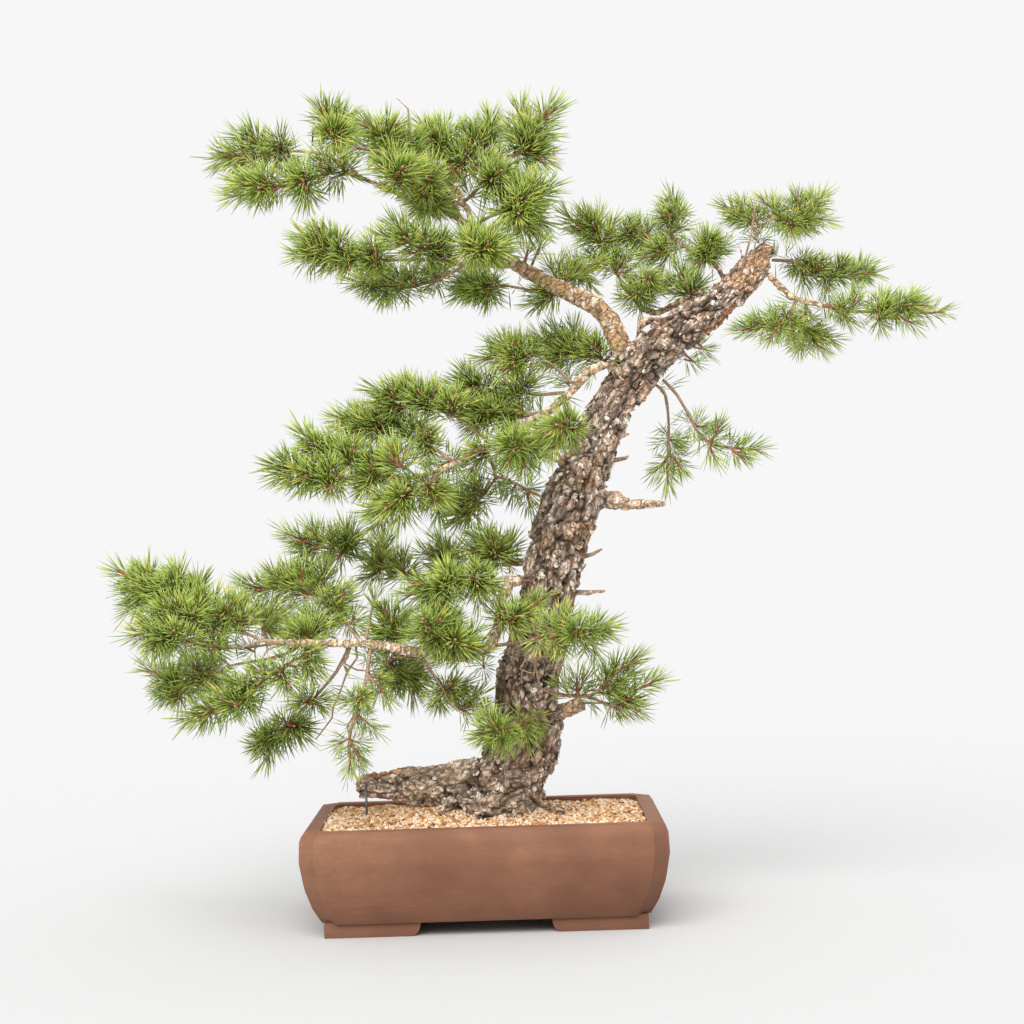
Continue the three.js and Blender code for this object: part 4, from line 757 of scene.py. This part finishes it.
def makeFlakes(points, normals, onTrunk):
    rand = random.Random(5)
    flakes = [makeFlakeMesh(seed) for seed in range(flake["variants"])]
    places = np.flatnonzero(onTrunk > 0.9)
    copies = []
    for i in range(flake["count"]):
        index = places[rand.randrange(len(places))]
        outward = Vector(normals[index])
        size = rand.uniform(*flake["size"]) * mm
        spin = Matrix.Rotation(rand.gauss(0, flake["spin"]), 4, "Z")
        lift = turned(rand.uniform(*flake["lift"]) * rand.choice((-1, 1)), "X")
        long, thick = rand.uniform(*flake["stretch"]), rand.uniform(*flake["thickening"])
        shape = Matrix.Diagonal((size, size * long, size * thick, 1))
        place = Matrix.Translation(Vector(points[index]) - outward * size * flake["sunk"])
        place = place @ facing(outward) @ spin @ lift @ shape
        copies.append((rand.choice(flakes), place, rand.uniform(*flake["tone"])))
    bm = scatter(copies, "plate")
    pattern = bm.verts.layers.float_vector.new("pattern")
    for vert in bm.verts:
        vert[pattern] = vert.co / mm
    piece = asObject(bm, "bark_flakes", barkMaterial, smooth=False)
    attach(piece, "root")
    print("flakes", len(piece.data.polygons), "faces")


def makeWood():
    noise.seed_set(bark["seed"])
    piece = asObject(copyOfNode("wood"), "pine_wood", barkMaterial)
    skin = piece.modifiers.new("even skin", "REMESH")
    skin.mode = "VOXEL"
    skin.voxel_size = bark["cell"] * mm
    soften = piece.modifiers.new("soften", "SMOOTH")
    soften.factor, soften.iterations = bark["smoothing"]
    applied(piece)
    makeFlakes(*barkedMesh(piece.data))
    piece.data.polygons.foreach_set("use_smooth", [False] * len(piece.data.polygons))
    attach(piece, "root")
    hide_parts("wood")
    print("wood", len(piece.data.polygons), "faces")
    bm = bmesh.new()
    bm.from_mesh(piece.data)
    surface = BVHTree.FromBMesh(bm)
    bm.free()
    return surface


woodSurface = makeWood()


# Thin bare twigs, each from the nearest wood through its places in the view

bareTwigs = {
    "depth": -110,
    "lean": 14,                # how far forward or back a twig ends
    "radii": (1.7, 0.9),
    "snagRadii": (3.8, 1.7),
    "sides": 6,
    "courses": [
        [(349, 643), (348, 657), (340, 667), (333, 677)],
        [(356, 650), (357, 658), (347, 672), (340, 692), (333, 708), (332, 718), (323, 730), (316, 739)],
        [(369, 650), (368, 660), (367, 672), (363, 694), (354, 715), (347, 727), (350, 739), (347, 751)],
        [(345, 655), (345, 664), (357, 670), (371, 671), (388, 673)],
        [(392, 650), (393, 657), (418, 658), (426, 661), (433, 673), (444, 691), (450, 704), (464, 715),
         (479, 714)],
        [(267, 645), (267, 650), (261, 661), (261, 675)],
        [(418, 128), (408, 109), (397, 98)],
        [(742, 262), (750, 240), (754, 215), (755, 203)],
        [(511, 728), (522, 721), (537, 713), (546, 704), (551, 698)],
        [(532, 679), (540, 687), (549, 693), (558, 696), (571, 697), (587, 694)],
        [(514, 662), (520, 669), (530, 673), (540, 672)],
        [(539, 654), (547, 657), (558, 657)],
        [(590, 698), (604, 703), (614, 708), (627, 707)],
    ],
    "snags": [
        [(566, 470), (560, 458), (557, 451)],
        [(584, 558), (593, 554), (602, 549)],
        [(618, 462), (626, 458), (628, 456)],
        [(576, 593), (588, 592), (605, 591)],
    ],
}


def makeBareTwigs():
    rand = random.Random(3)
    bm = bmesh.new()
    bm.verts.layers.float.new("fresh")  # left at nothing: old bark all along
    for course in bareTwigs["courses"] + bareTwigs["snags"]:
        isSnag = course in bareTwigs["snags"]
        depth = 0 if isSnag else bareTwigs["depth"]
        start = woodSurface.find_nearest(inView(*course[0], depth))[0]
        depth = (start.y - potMiddle.y) / mm
        lean = rand.uniform(-bareTwigs["lean"], bareTwigs["lean"])
        points = [start] + [inView(*stop, depth + lean * (i + 1) / len(course))
                            for i, stop in enumerate(course[1:])]
        ends = bareTwigs["snagRadii"] if isSnag else bareTwigs["radii"]
        radii = [mixed(*ends, i / (len(points) - 1)) * mm for i in range(len(points))]
        addTube(bm, points, radii, bareTwigs["sides"])
    piece = asObject(bm, "bare_twigs", twigMaterial)
    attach(piece, "root")
    print("bare twigs", len(piece.data.polygons), "faces")


makeBareTwigs()


# Foliage: each spray keeps its stems and shoot places, and every shoot gets its full coat of paired needles

goldenTurn = 137.5  # degrees from each needle or side shoot to the next, as they grow round a stem

needle = {
    "length": 43,
    "width": 1.95,
    "widest": 0.58,        # share of its length
    "pairSpread": 7,       # degrees between the needles of a pair and their middle
    "pairTones": 0.08,     # how far a needle's tone strays from its pair's
    "tipLean": 19,         # degrees from the shoot, at its tip
    "baseLean": 72,        # and at the lower end of its needles
    "strays": (9, 16),     # how far needles stray from their lean and round the shoot, in degrees
    "sizes": (0.74, 1.06),
    "lowestSize": 0.93,
    "clothed": 46,         # length of shoot that carries needles
    "pairs": 24,
    "sideClothed": 24,
    "sidePairs": 17,
    "onward": 13,          # how far a shoot grows on past its stem, if the frame's box has room
    "bareLength": 28,      # length of its own twig, which its stem then carries on
    "vigourAndShade": (0.3, 1),    # from dull to bright green
    # side shoots behind each tip and the needles' size; parts of the tree grow more or less strongly
    "growth": {"spray_crown": (4, 1.07), "spray_right": (2, 0.82), "spray_hanging": (0, 0.88),
               "spray_back": (2, 0.88), "spray_front": (2, 0.95), "spray_low_drop": (1, 0.9),
               "spray_low_long": (1, 0.8), "spray": (3, 1.0)},
    "sideFrom": (18, 66),  # how far behind it they leave the stem
    "sideLean": (24, 50),
    "sideStray": 35,       # degrees round the stem, and the turn for a new try
    "steepest": -0.5,      # how far down a side shoot may point
    "nextTry": 77,
    "tries": 8,
    "innerPairs": 12,      # old needles left along the stem behind each tip
    "innerFrom": (30, 100),
    "innerAim": (0.8, 0.3),  # how much they point along the shoot, and stray
    # old needles behind the tips are darker, partly for their age and partly as painted shade inside the
    # crown
    "innerAgeAndShade": 0.4,
    "sideLengths": (0.9, 1.05),
    "sideVigour": (0.5, 1),
    "variants": 8,
    "twigRadius": 1.7,
    "stemGain": 0.8,       # stems are this much thicker than their rounded form
    "fresh": (10, 28),     # how far from a tip the bark turns from fresh to old
    "bud": (2.0, 7),
    "proud": (14, 9, 16),  # how far the foliage may stand out of the frame's box
    "spikeFrom": 0.6,      # edges longer than this share of a needle are the frame's own needles
    "tipRoom": 0.85,       # share of a needle that needs room past a grown tip
}


def makeNeedleMesh():
    # a three-sided needle standing on the origin, widest near its foot
    bm = bmesh.new()
    length, half = needle["length"] * mm, needle["width"] / 2 * mm
    foot = length * needle["widest"]
    bmesh.ops.create_cone(bm, cap_ends=True, segments=3, radius1=half, radius2=0, depth=length - foot,
                          matrix=Matrix.Translation((0, 0, (length + foot) / 2)))
    bmesh.ops.remove_doubles(bm, verts=bm.verts, dist=0.001 * mm)
    cap = [face for face in bm.faces if max(vert.co.z for vert in face.verts) < (foot + length) / 2]
    bmesh.ops.poke(bm, faces=cap)["verts"][0].co.z = 0
    along = bm.verts.layers.float.new("along")
    for vert in bm.verts:
        vert[along] = vert.co.z / length
    return asMesh(bm, "needle")


# Two needles from one sheath, each with its own tone
def addPair(bm, needleMesh, place, size, rand):
    tone = bm.verts.layers.float["tone"]
    pairTone, stray = rand.random(), needle["pairTones"]
    for side in (-1, 1):
        part = turned(side * needle["pairSpread"], "X")
        twist = Matrix.Rotation(rand.uniform(0, 2 * math.pi), 4, "Z")
        added = addCopy(bm, needleMesh, place @ part @ twist @ Matrix.Diagonal((1, 1, size, 1)))
        for vert in added:
            vert[tone] = min(max(pairTone + rand.uniform(-stray, stray), 0), 1)
        for face in {f for v in added for f in v.link_faces}:
            face.material_index = 1


def makeShootMesh(needleMesh, seed, pairs, clothed):
    # a shoot along +Z that ends at the origin: twig, needle pairs in a spiral, and its bud
    rand = random.Random(seed)
    bm = bmesh.new()
    bm.verts.layers.float.new("tone")
    fresh = bm.verts.layers.float.new("fresh")
    radius = needle["twigRadius"] * mm
    leanStray, turnStray = needle["strays"]
    twigLength = min(clothed, needle["bareLength"]) * mm
    addTube(bm, [Vector((0, 0, -twigLength)), Vector((0, 0, 0))], [radius * 1.25, radius], 5)
    for vert in bm.verts:
        vert[fresh] = 1
    for i in range(pairs):
        share = (i + rand.random() * 0.8) / pairs
        lean = mixed(needle["baseLean"], needle["tipLean"], share ** 0.8) + rand.gauss(0, leanStray)
        place = Matrix.Translation((0, 0, -clothed * (1 - share) * mm))
        place = place @ turned(i * goldenTurn + rand.uniform(-turnStray, turnStray), "Z")
        place = place @ Matrix.Translation((radius * 0.6, 0, 0)) @ turned(lean, "Y")
        size = rand.uniform(*needle["sizes"]) * mixed(needle["lowestSize"], 1.0, share)
        addPair(bm, needleMesh, place, size, rand)
    budRadius, budLength = needle["bud"]
    bud = bmesh.ops.create_icosphere(bm, subdivisions=1, radius=1, matrix=Matrix.LocRotScale(
        Vector((0, 0, budLength * 0.35 * mm)), None, Vector((budRadius, budRadius, budLength / 2)) * mm))
    for face in {f for v in bud["verts"] for f in v.link_faces}:
        face.material_index = 2
    return asMesh(bm, "shoot")


def makePairMesh(needleMesh, seed):
    bm = bmesh.new()
    bm.verts.layers.float.new("tone")
    addPair(bm, needleMesh, Matrix.Identity(4), 0.95, random.Random(seed))
    return asMesh(bm, "pair")


def stripNeedles(bm):
    # takes the long spikes off a spray's body and returns, for each shoot, its spikes' feet and directions
    spikes = []
    shortest = needle["spikeFrom"] * needle["length"] * mm
    for vert in bm.verts:
        edges = vert.link_edges
        if len(edges) == 3 and min(e.calc_length() for e in edges) > shortest:
            feet = [e.other_vert(vert) for e in edges]
            spikes.append((vert, feet))
    owner = {}

    def rootOf(key):
        while owner.setdefault(key, key) != key:
            key = owner[key]
        return key

    for vert, feet in spikes:
        for foot in feet[1:]:
            owner[rootOf(foot)] = rootOf(feet[0])
    shoots = {}
    for vert, feet in spikes:
        middle = sum((f.co for f in feet), Vector()) / 3
        shoots.setdefault(rootOf(feet[0]), []).append((middle, (vert.co - middle).normalized()))
    bmesh.ops.dissolve_verts(bm, verts=[vert for vert, feet in spikes])
    return list(shoots.values())


def roundedStems(bm, node):
    bmesh.ops.triangulate(bm, faces=bm.faces)
    stems = asObject(bm, node + "_stems", twigMaterial)
    rounding = stems.modifiers.new("rounding", "SUBSURF")
    rounding.levels = rounding.render_levels = 1
    applied(stems)
    bm = bmesh.new()
    bm.from_mesh(stems.data)
    bm.normal_update()
    for vert in bm.verts:
        vert.co += vert.normal * needle["stemGain"] * mm
    bpy.data.objects.remove(stems)
    return bm


def insideBox(point):
    return all(low - proud * mm < value < high + proud * mm
               for value, low, high, proud in zip(point, *cadBox, needle["proud"]))


def grownTip(tip, way):
    grown = tip + way * needle["onward"] * mm
    return grown if insideBox(grown + way * needle["tipRoom"] * needle["length"] * mm) else tip


def sideHeading(rand, root, face, around):
    # a turned direction for a side shoot that neither hangs far down nor leaves the frame's box
    stray = needle["sideStray"]
    for attempt in range(needle["tries"]):
        tilt = turned(rand.uniform(*needle["sideLean"]), "Y")
        turn = turned(around + rand.uniform(-stray, stray) + attempt * needle["nextTry"], "Z")
        heading = face @ turn @ tilt
        way = heading.to_3x3() @ Vector((0, 0, 1))
        reach = (needle["sideClothed"] + needle["length"]) * mm
        if way.z > needle["steepest"] and insideBox(root + way * reach):
            return heading
    return None


def makeSpray(node, shootMeshes, sideMeshes, pairMeshes):
    rand = random.Random(node)
    sides, size = next(growth for start, growth in needle["growth"].items() if node.startswith(start))
    sized = Matrix.Scale(size, 4)
    bm = copyOfNode(node)
    shoots = stripNeedles(bm)
    ways = [sum((direction for middle, direction in spikes), Vector()).normalized() for spikes in shoots]
    tips = [max((middle for middle, direction in spikes), key=lambda middle: middle.dot(way))
            for spikes, way in zip(shoots, ways)]
    bm = roundedStems(bm, node)
    surface = BVHTree.FromBMesh(bm)
    stem = [(vert.co.copy(), vert.normal.copy()) for vert in bm.verts]
    stemPlaces = np.array([place for place, normal in stem])
    gaps = np.linalg.norm(stemPlaces[:, None] - np.array(tips)[None], axis=2)
    fresh = bm.verts.layers.float.new("fresh")
    for vert, gap in zip(bm.verts, gaps.min(axis=1)):
        vert[fresh] = 1 - smoothStep(needle["fresh"][0] * mm, needle["fresh"][1] * mm, gap)
    vigourAndShade = bm.verts.layers.float.new("vigourAndShade")
    bm.verts.layers.float.new("tone")
    bm.verts.layers.float.new("along")
    innerFrom, innerTo = [reach * mm for reach in needle["innerFrom"]]
    onward, stray = needle["innerAim"]
    for i, (way, tip) in enumerate(zip(ways, tips)):
        shootVigour = rand.uniform(*needle["vigourAndShade"])
        face = facing(way)
        spin = Matrix.Rotation(rand.uniform(0, 2 * math.pi), 4, "Z")
        place = Matrix.Translation(grownTip(tip, way)) @ face @ spin @ sized
        for vert in addCopy(bm, rand.choice(shootMeshes), place):
            vert[vigourAndShade] = shootVigour
        around = rand.uniform(0, 360)
        for side in range(sides):
            back = rand.uniform(*needle["sideFrom"]) * mm
            root = surface.find_nearest(tip - way * back)[0]
            heading = sideHeading(rand, root, face, around + side * goldenTurn)
            if heading is None:
                continue
            length = needle["sideClothed"] * size * rand.uniform(*needle["sideLengths"]) * mm
            place = Matrix.Translation(root) @ heading @ Matrix.Translation((0, 0, length))
            sideVigour = shootVigour * rand.uniform(*needle["sideVigour"])
            for vert in addCopy(bm, rand.choice(sideMeshes), place @ spin @ sized):
                vert[vigourAndShade] = sideVigour
        near = np.flatnonzero((gaps[:, i] > innerFrom) & (gaps[:, i] < innerTo))
        for count in range(needle["innerPairs"] if len(near) else 0):
            root, outward = stem[near[rand.randrange(len(near))]]
            aim = outward + way * onward + Vector([rand.gauss(middle, stray) for middle in (0, 0, 0.2)])
            if insideBox(root + aim.normalized() * needle["length"] * mm):
                place = Matrix.Translation(root) @ facing(aim) @ sized
                for vert in addCopy(bm, rand.choice(pairMeshes), place):
                    vert[vigourAndShade] = shootVigour * needle["innerAgeAndShade"]
    piece = asObject(bm, node.replace("spray", "foliage"), twigMaterial, needleMaterial, budMaterial)
    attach(piece, "root")
    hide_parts(node)
    return sum(len(face.vertices) - 2 for face in piece.data.polygons), len(shoots)


youngTuft = {
    "tips": [(706, 350, -6), (694, 362, 14), (566, 383, 24), (586, 376, 0), (528, 250, -34), (541, 243, -10),
             (374, 598, -60), (484, 668, -70), (246, 648, -60)],
    "radii": (2.2, 1.6),
    "sides": 6,
    "rise": 0.4,               # how far it turns up at its end
    "size": 0.8,
    # these grow inside the crown and are painted duller green as shade
    "vigourAndShade": (0.2, 0.6),
}


def makeYoungTufts(shootMeshes):
    # single young shoots that grow straight out of old wood
    rand = random.Random(8)
    bm = bmesh.new()
    vigourAndShade = bm.verts.layers.float.new("vigourAndShade")
    for layer in ("fresh", "tone", "along"):
        bm.verts.layers.float.new(layer)
    for stop in youngTuft["tips"]:
        tip = inView(*stop)
        start = woodSurface.find_nearest(tip)[0]
        addTube(bm, [start, tip], [radius * mm for radius in youngTuft["radii"]], youngTuft["sides"])
        face = facing((tip - start).normalized() + Vector((0, 0, youngTuft["rise"])))
        place = Matrix.Translation(tip) @ face @ Matrix.Scale(youngTuft["size"], 4)
        for vert in addCopy(bm, rand.choice(shootMeshes), place):
            vert[vigourAndShade] = rand.uniform(*youngTuft["vigourAndShade"])
    piece = asObject(bm, "young_tufts", twigMaterial, needleMaterial, budMaterial)
    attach(piece, "root")


def makeFoliage():
    needleMesh = makeNeedleMesh()
    variants = range(needle["variants"])
    whole, short = (needle["pairs"], needle["clothed"]), (needle["sidePairs"], needle["sideClothed"])
    shootMeshes = [makeShootMesh(needleMesh, i, *whole) for i in variants]
    sideMeshes = [makeShootMesh(needleMesh, 50 + i, *short) for i in variants]
    pairMeshes = [makePairMesh(needleMesh, 90 + i) for i in variants]
    makeYoungTufts(sideMeshes)
    nodes = sorted(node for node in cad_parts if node.startswith("spray_"))
    counts = [makeSpray(node, shootMeshes, sideMeshes, pairMeshes) for node in nodes]
    triangles, shoots = [sum(column) for column in zip(*counts)]
    print("foliage", triangles, "triangles", shoots, "shoots")


makeFoliage()


# Soil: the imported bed, and loose grains over all of its top

soil = {
    "spacing": 4.3,
    "sizes": (0.6, 1.5),       # of a grain, in spacings
    "strays": (0.1, 0.9),      # its place in its own cell
    "rises": (-0.1, 0.3),      # its middle over the bed, in sizes
    "variants": 9,
    "cube": 0.8,
    "knock": 0.2,
    "depths": (0.7, 1),
    "heights": (0.55, 0.9),
    "dropFrom": 400,
    "lowest": 140,
}


def makeGrainMesh(seed):
    # a crushed grain: a cube with its corners knocked about
    rand = random.Random(seed)
    bm = bmesh.new()
    bmesh.ops.create_cube(bm, size=soil["cube"])
    for vert in bm.verts:
        vert.co += Vector([rand.uniform(-soil["knock"], soil["knock"]) for axis in range(3)])
    shape = (1, rand.uniform(*soil["depths"]), rand.uniform(*soil["heights"]))
    bmesh.ops.scale(bm, verts=bm.verts, vec=shape)
    return asMesh(bm, "grain")


def makeGrains():
    rand = random.Random(11)
    grains = [makeGrainMesh(seed) for seed in range(soil["variants"])]
    bed = copyOfNode("soil")
    surface = BVHTree.FromBMesh(bed)
    bed.free()
    copies = []
    low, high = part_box("soil")
    step = soil["spacing"] * mm
    for i in range(int((high.x - low.x) / step)):
        for j in range(int((high.y - low.y) / step)):
            x = low.x + (i + rand.uniform(*soil["strays"])) * step
            y = low.y + (j + rand.uniform(*soil["strays"])) * step
            hit = surface.ray_cast(Vector((x, y, soil["dropFrom"] * mm)), Vector((0, 0, -1)))[0]
            if hit is None or hit.z < soil["lowest"] * mm:
                continue
            size = step * rand.uniform(*soil["sizes"])
            turn = Matrix.Rotation(rand.uniform(0, 6.3), 4, [rand.random() for axis in range(3)])
            place = Matrix.Translation(hit + Vector((0, 0, size * rand.uniform(*soil["rises"]))))
            copies.append((rand.choice(grains), place @ turn @ Matrix.Scale(size, 4), rand.random()))
    piece = asObject(scatter(copies, "grain"), "soil_grains", makeGrainMaterial(), smooth=False)
    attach(piece, "root")
    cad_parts["soil"].data.materials.clear()
    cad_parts["soil"].data.materials.append(makeSoilBedMaterial())
    print("soil", len(copies), "grains")


makeGrains()


# Wire peg beside the long root

peg = {
    "place": (-176, -30),
    "heights": (140, 208),
    "radius": 1.8,
    "sides": 16,
    "hookSides": 10,
    "hookBelow": 9,            # where the hook leaves the peg, under its top
    "hookBow": 2,
    "hookRadius": 1.3,
    "hookReach": 8,
    "hookRise": 14,
}


def makePeg():
    bm = bmesh.new()
    foot = potMiddle + Vector((*peg["place"], 0)) * mm
    foot.z = 0
    low, high = peg["heights"]
    addTube(bm, [foot + Vector((0, 0, z * mm)) for z in (low, high)], [peg["radius"] * mm] * 2, peg["sides"])
    reach, rise, start = peg["hookReach"], peg["hookRise"], high - peg["hookBelow"]
    turns = [math.radians(15 * i) for i in range(13)]
    hook = [foot + Vector((reach - reach * math.cos(a), -peg["hookBow"] * math.sin(a / 2),
                           start + rise * math.sin(a))) * mm for a in turns]
    addTube(bm, hook, [peg["hookRadius"] * mm] * len(hook), peg["hookSides"])
    piece = asObject(bm, "wire_peg", makeWireMaterial())
    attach(piece, "root")
    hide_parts("tie_peg")


makePeg()
print("peg made")


# Floor, light and camera

studio = {
    "floor": "#cbcbcb",
    "floorReach": 60,                  # metres, past what any view sees
    "world": 0.93,
    "sun": (2.6, 50, (42, -14, 0)),    # strength, softness and turn in degrees
}


def makeStudio():
    material, tree, shader = startMaterial("pale matt floor")
    setInputs(tree, shader, {"Base Color": studio["floor"], "Roughness": 0.9})
    bm = bmesh.new()
    bmesh.ops.create_grid(bm, x_segments=2, y_segments=2, size=studio["floorReach"])
    asObject(bm, "floor", material)
    world = bpy.data.worlds.new("studio")
    world.use_nodes = True
    world.node_tree.nodes["Background"].inputs[0].default_value = (1, 1, 1, 1)
    world.node_tree.nodes["Background"].inputs[1].default_value = studio["world"]
    bpy.context.scene.world = world
    strength, softness, turn = studio["sun"]
    lamp = bpy.data.lights.new("sun", "SUN")
    lamp.energy = strength
    lamp.angle = math.radians(softness)
    holder = bpy.data.objects.new("sun", lamp)
    holder.rotation_euler = [math.radians(degrees) for degrees in turn]
    bpy.context.scene.collection.objects.link(holder)
    bpy.context.scene.view_settings.view_transform = "Standard"


def makeCamera():
    lens = bpy.data.cameras.new("camera")
    lens.lens = view["lens"]
    lens.sensor_width = view["sensor"]
    lens.shift_y = (view["horizon"] - view["middle"]) / view["frameSize"]
    camera = bpy.data.objects.new("camera", lens)
    level = turned(90, "X") @ turned(-view["turn"], "Z")
    eye = (potMiddle.x + view["side"], potMiddle.y - view["distance"], view["height"])
    camera.matrix_world = Matrix.Translation(eye) @ level
    bpy.context.scene.collection.objects.link(camera)
    bpy.context.scene.camera = camera


makeStudio()
makeCamera()
print("studio and camera made")
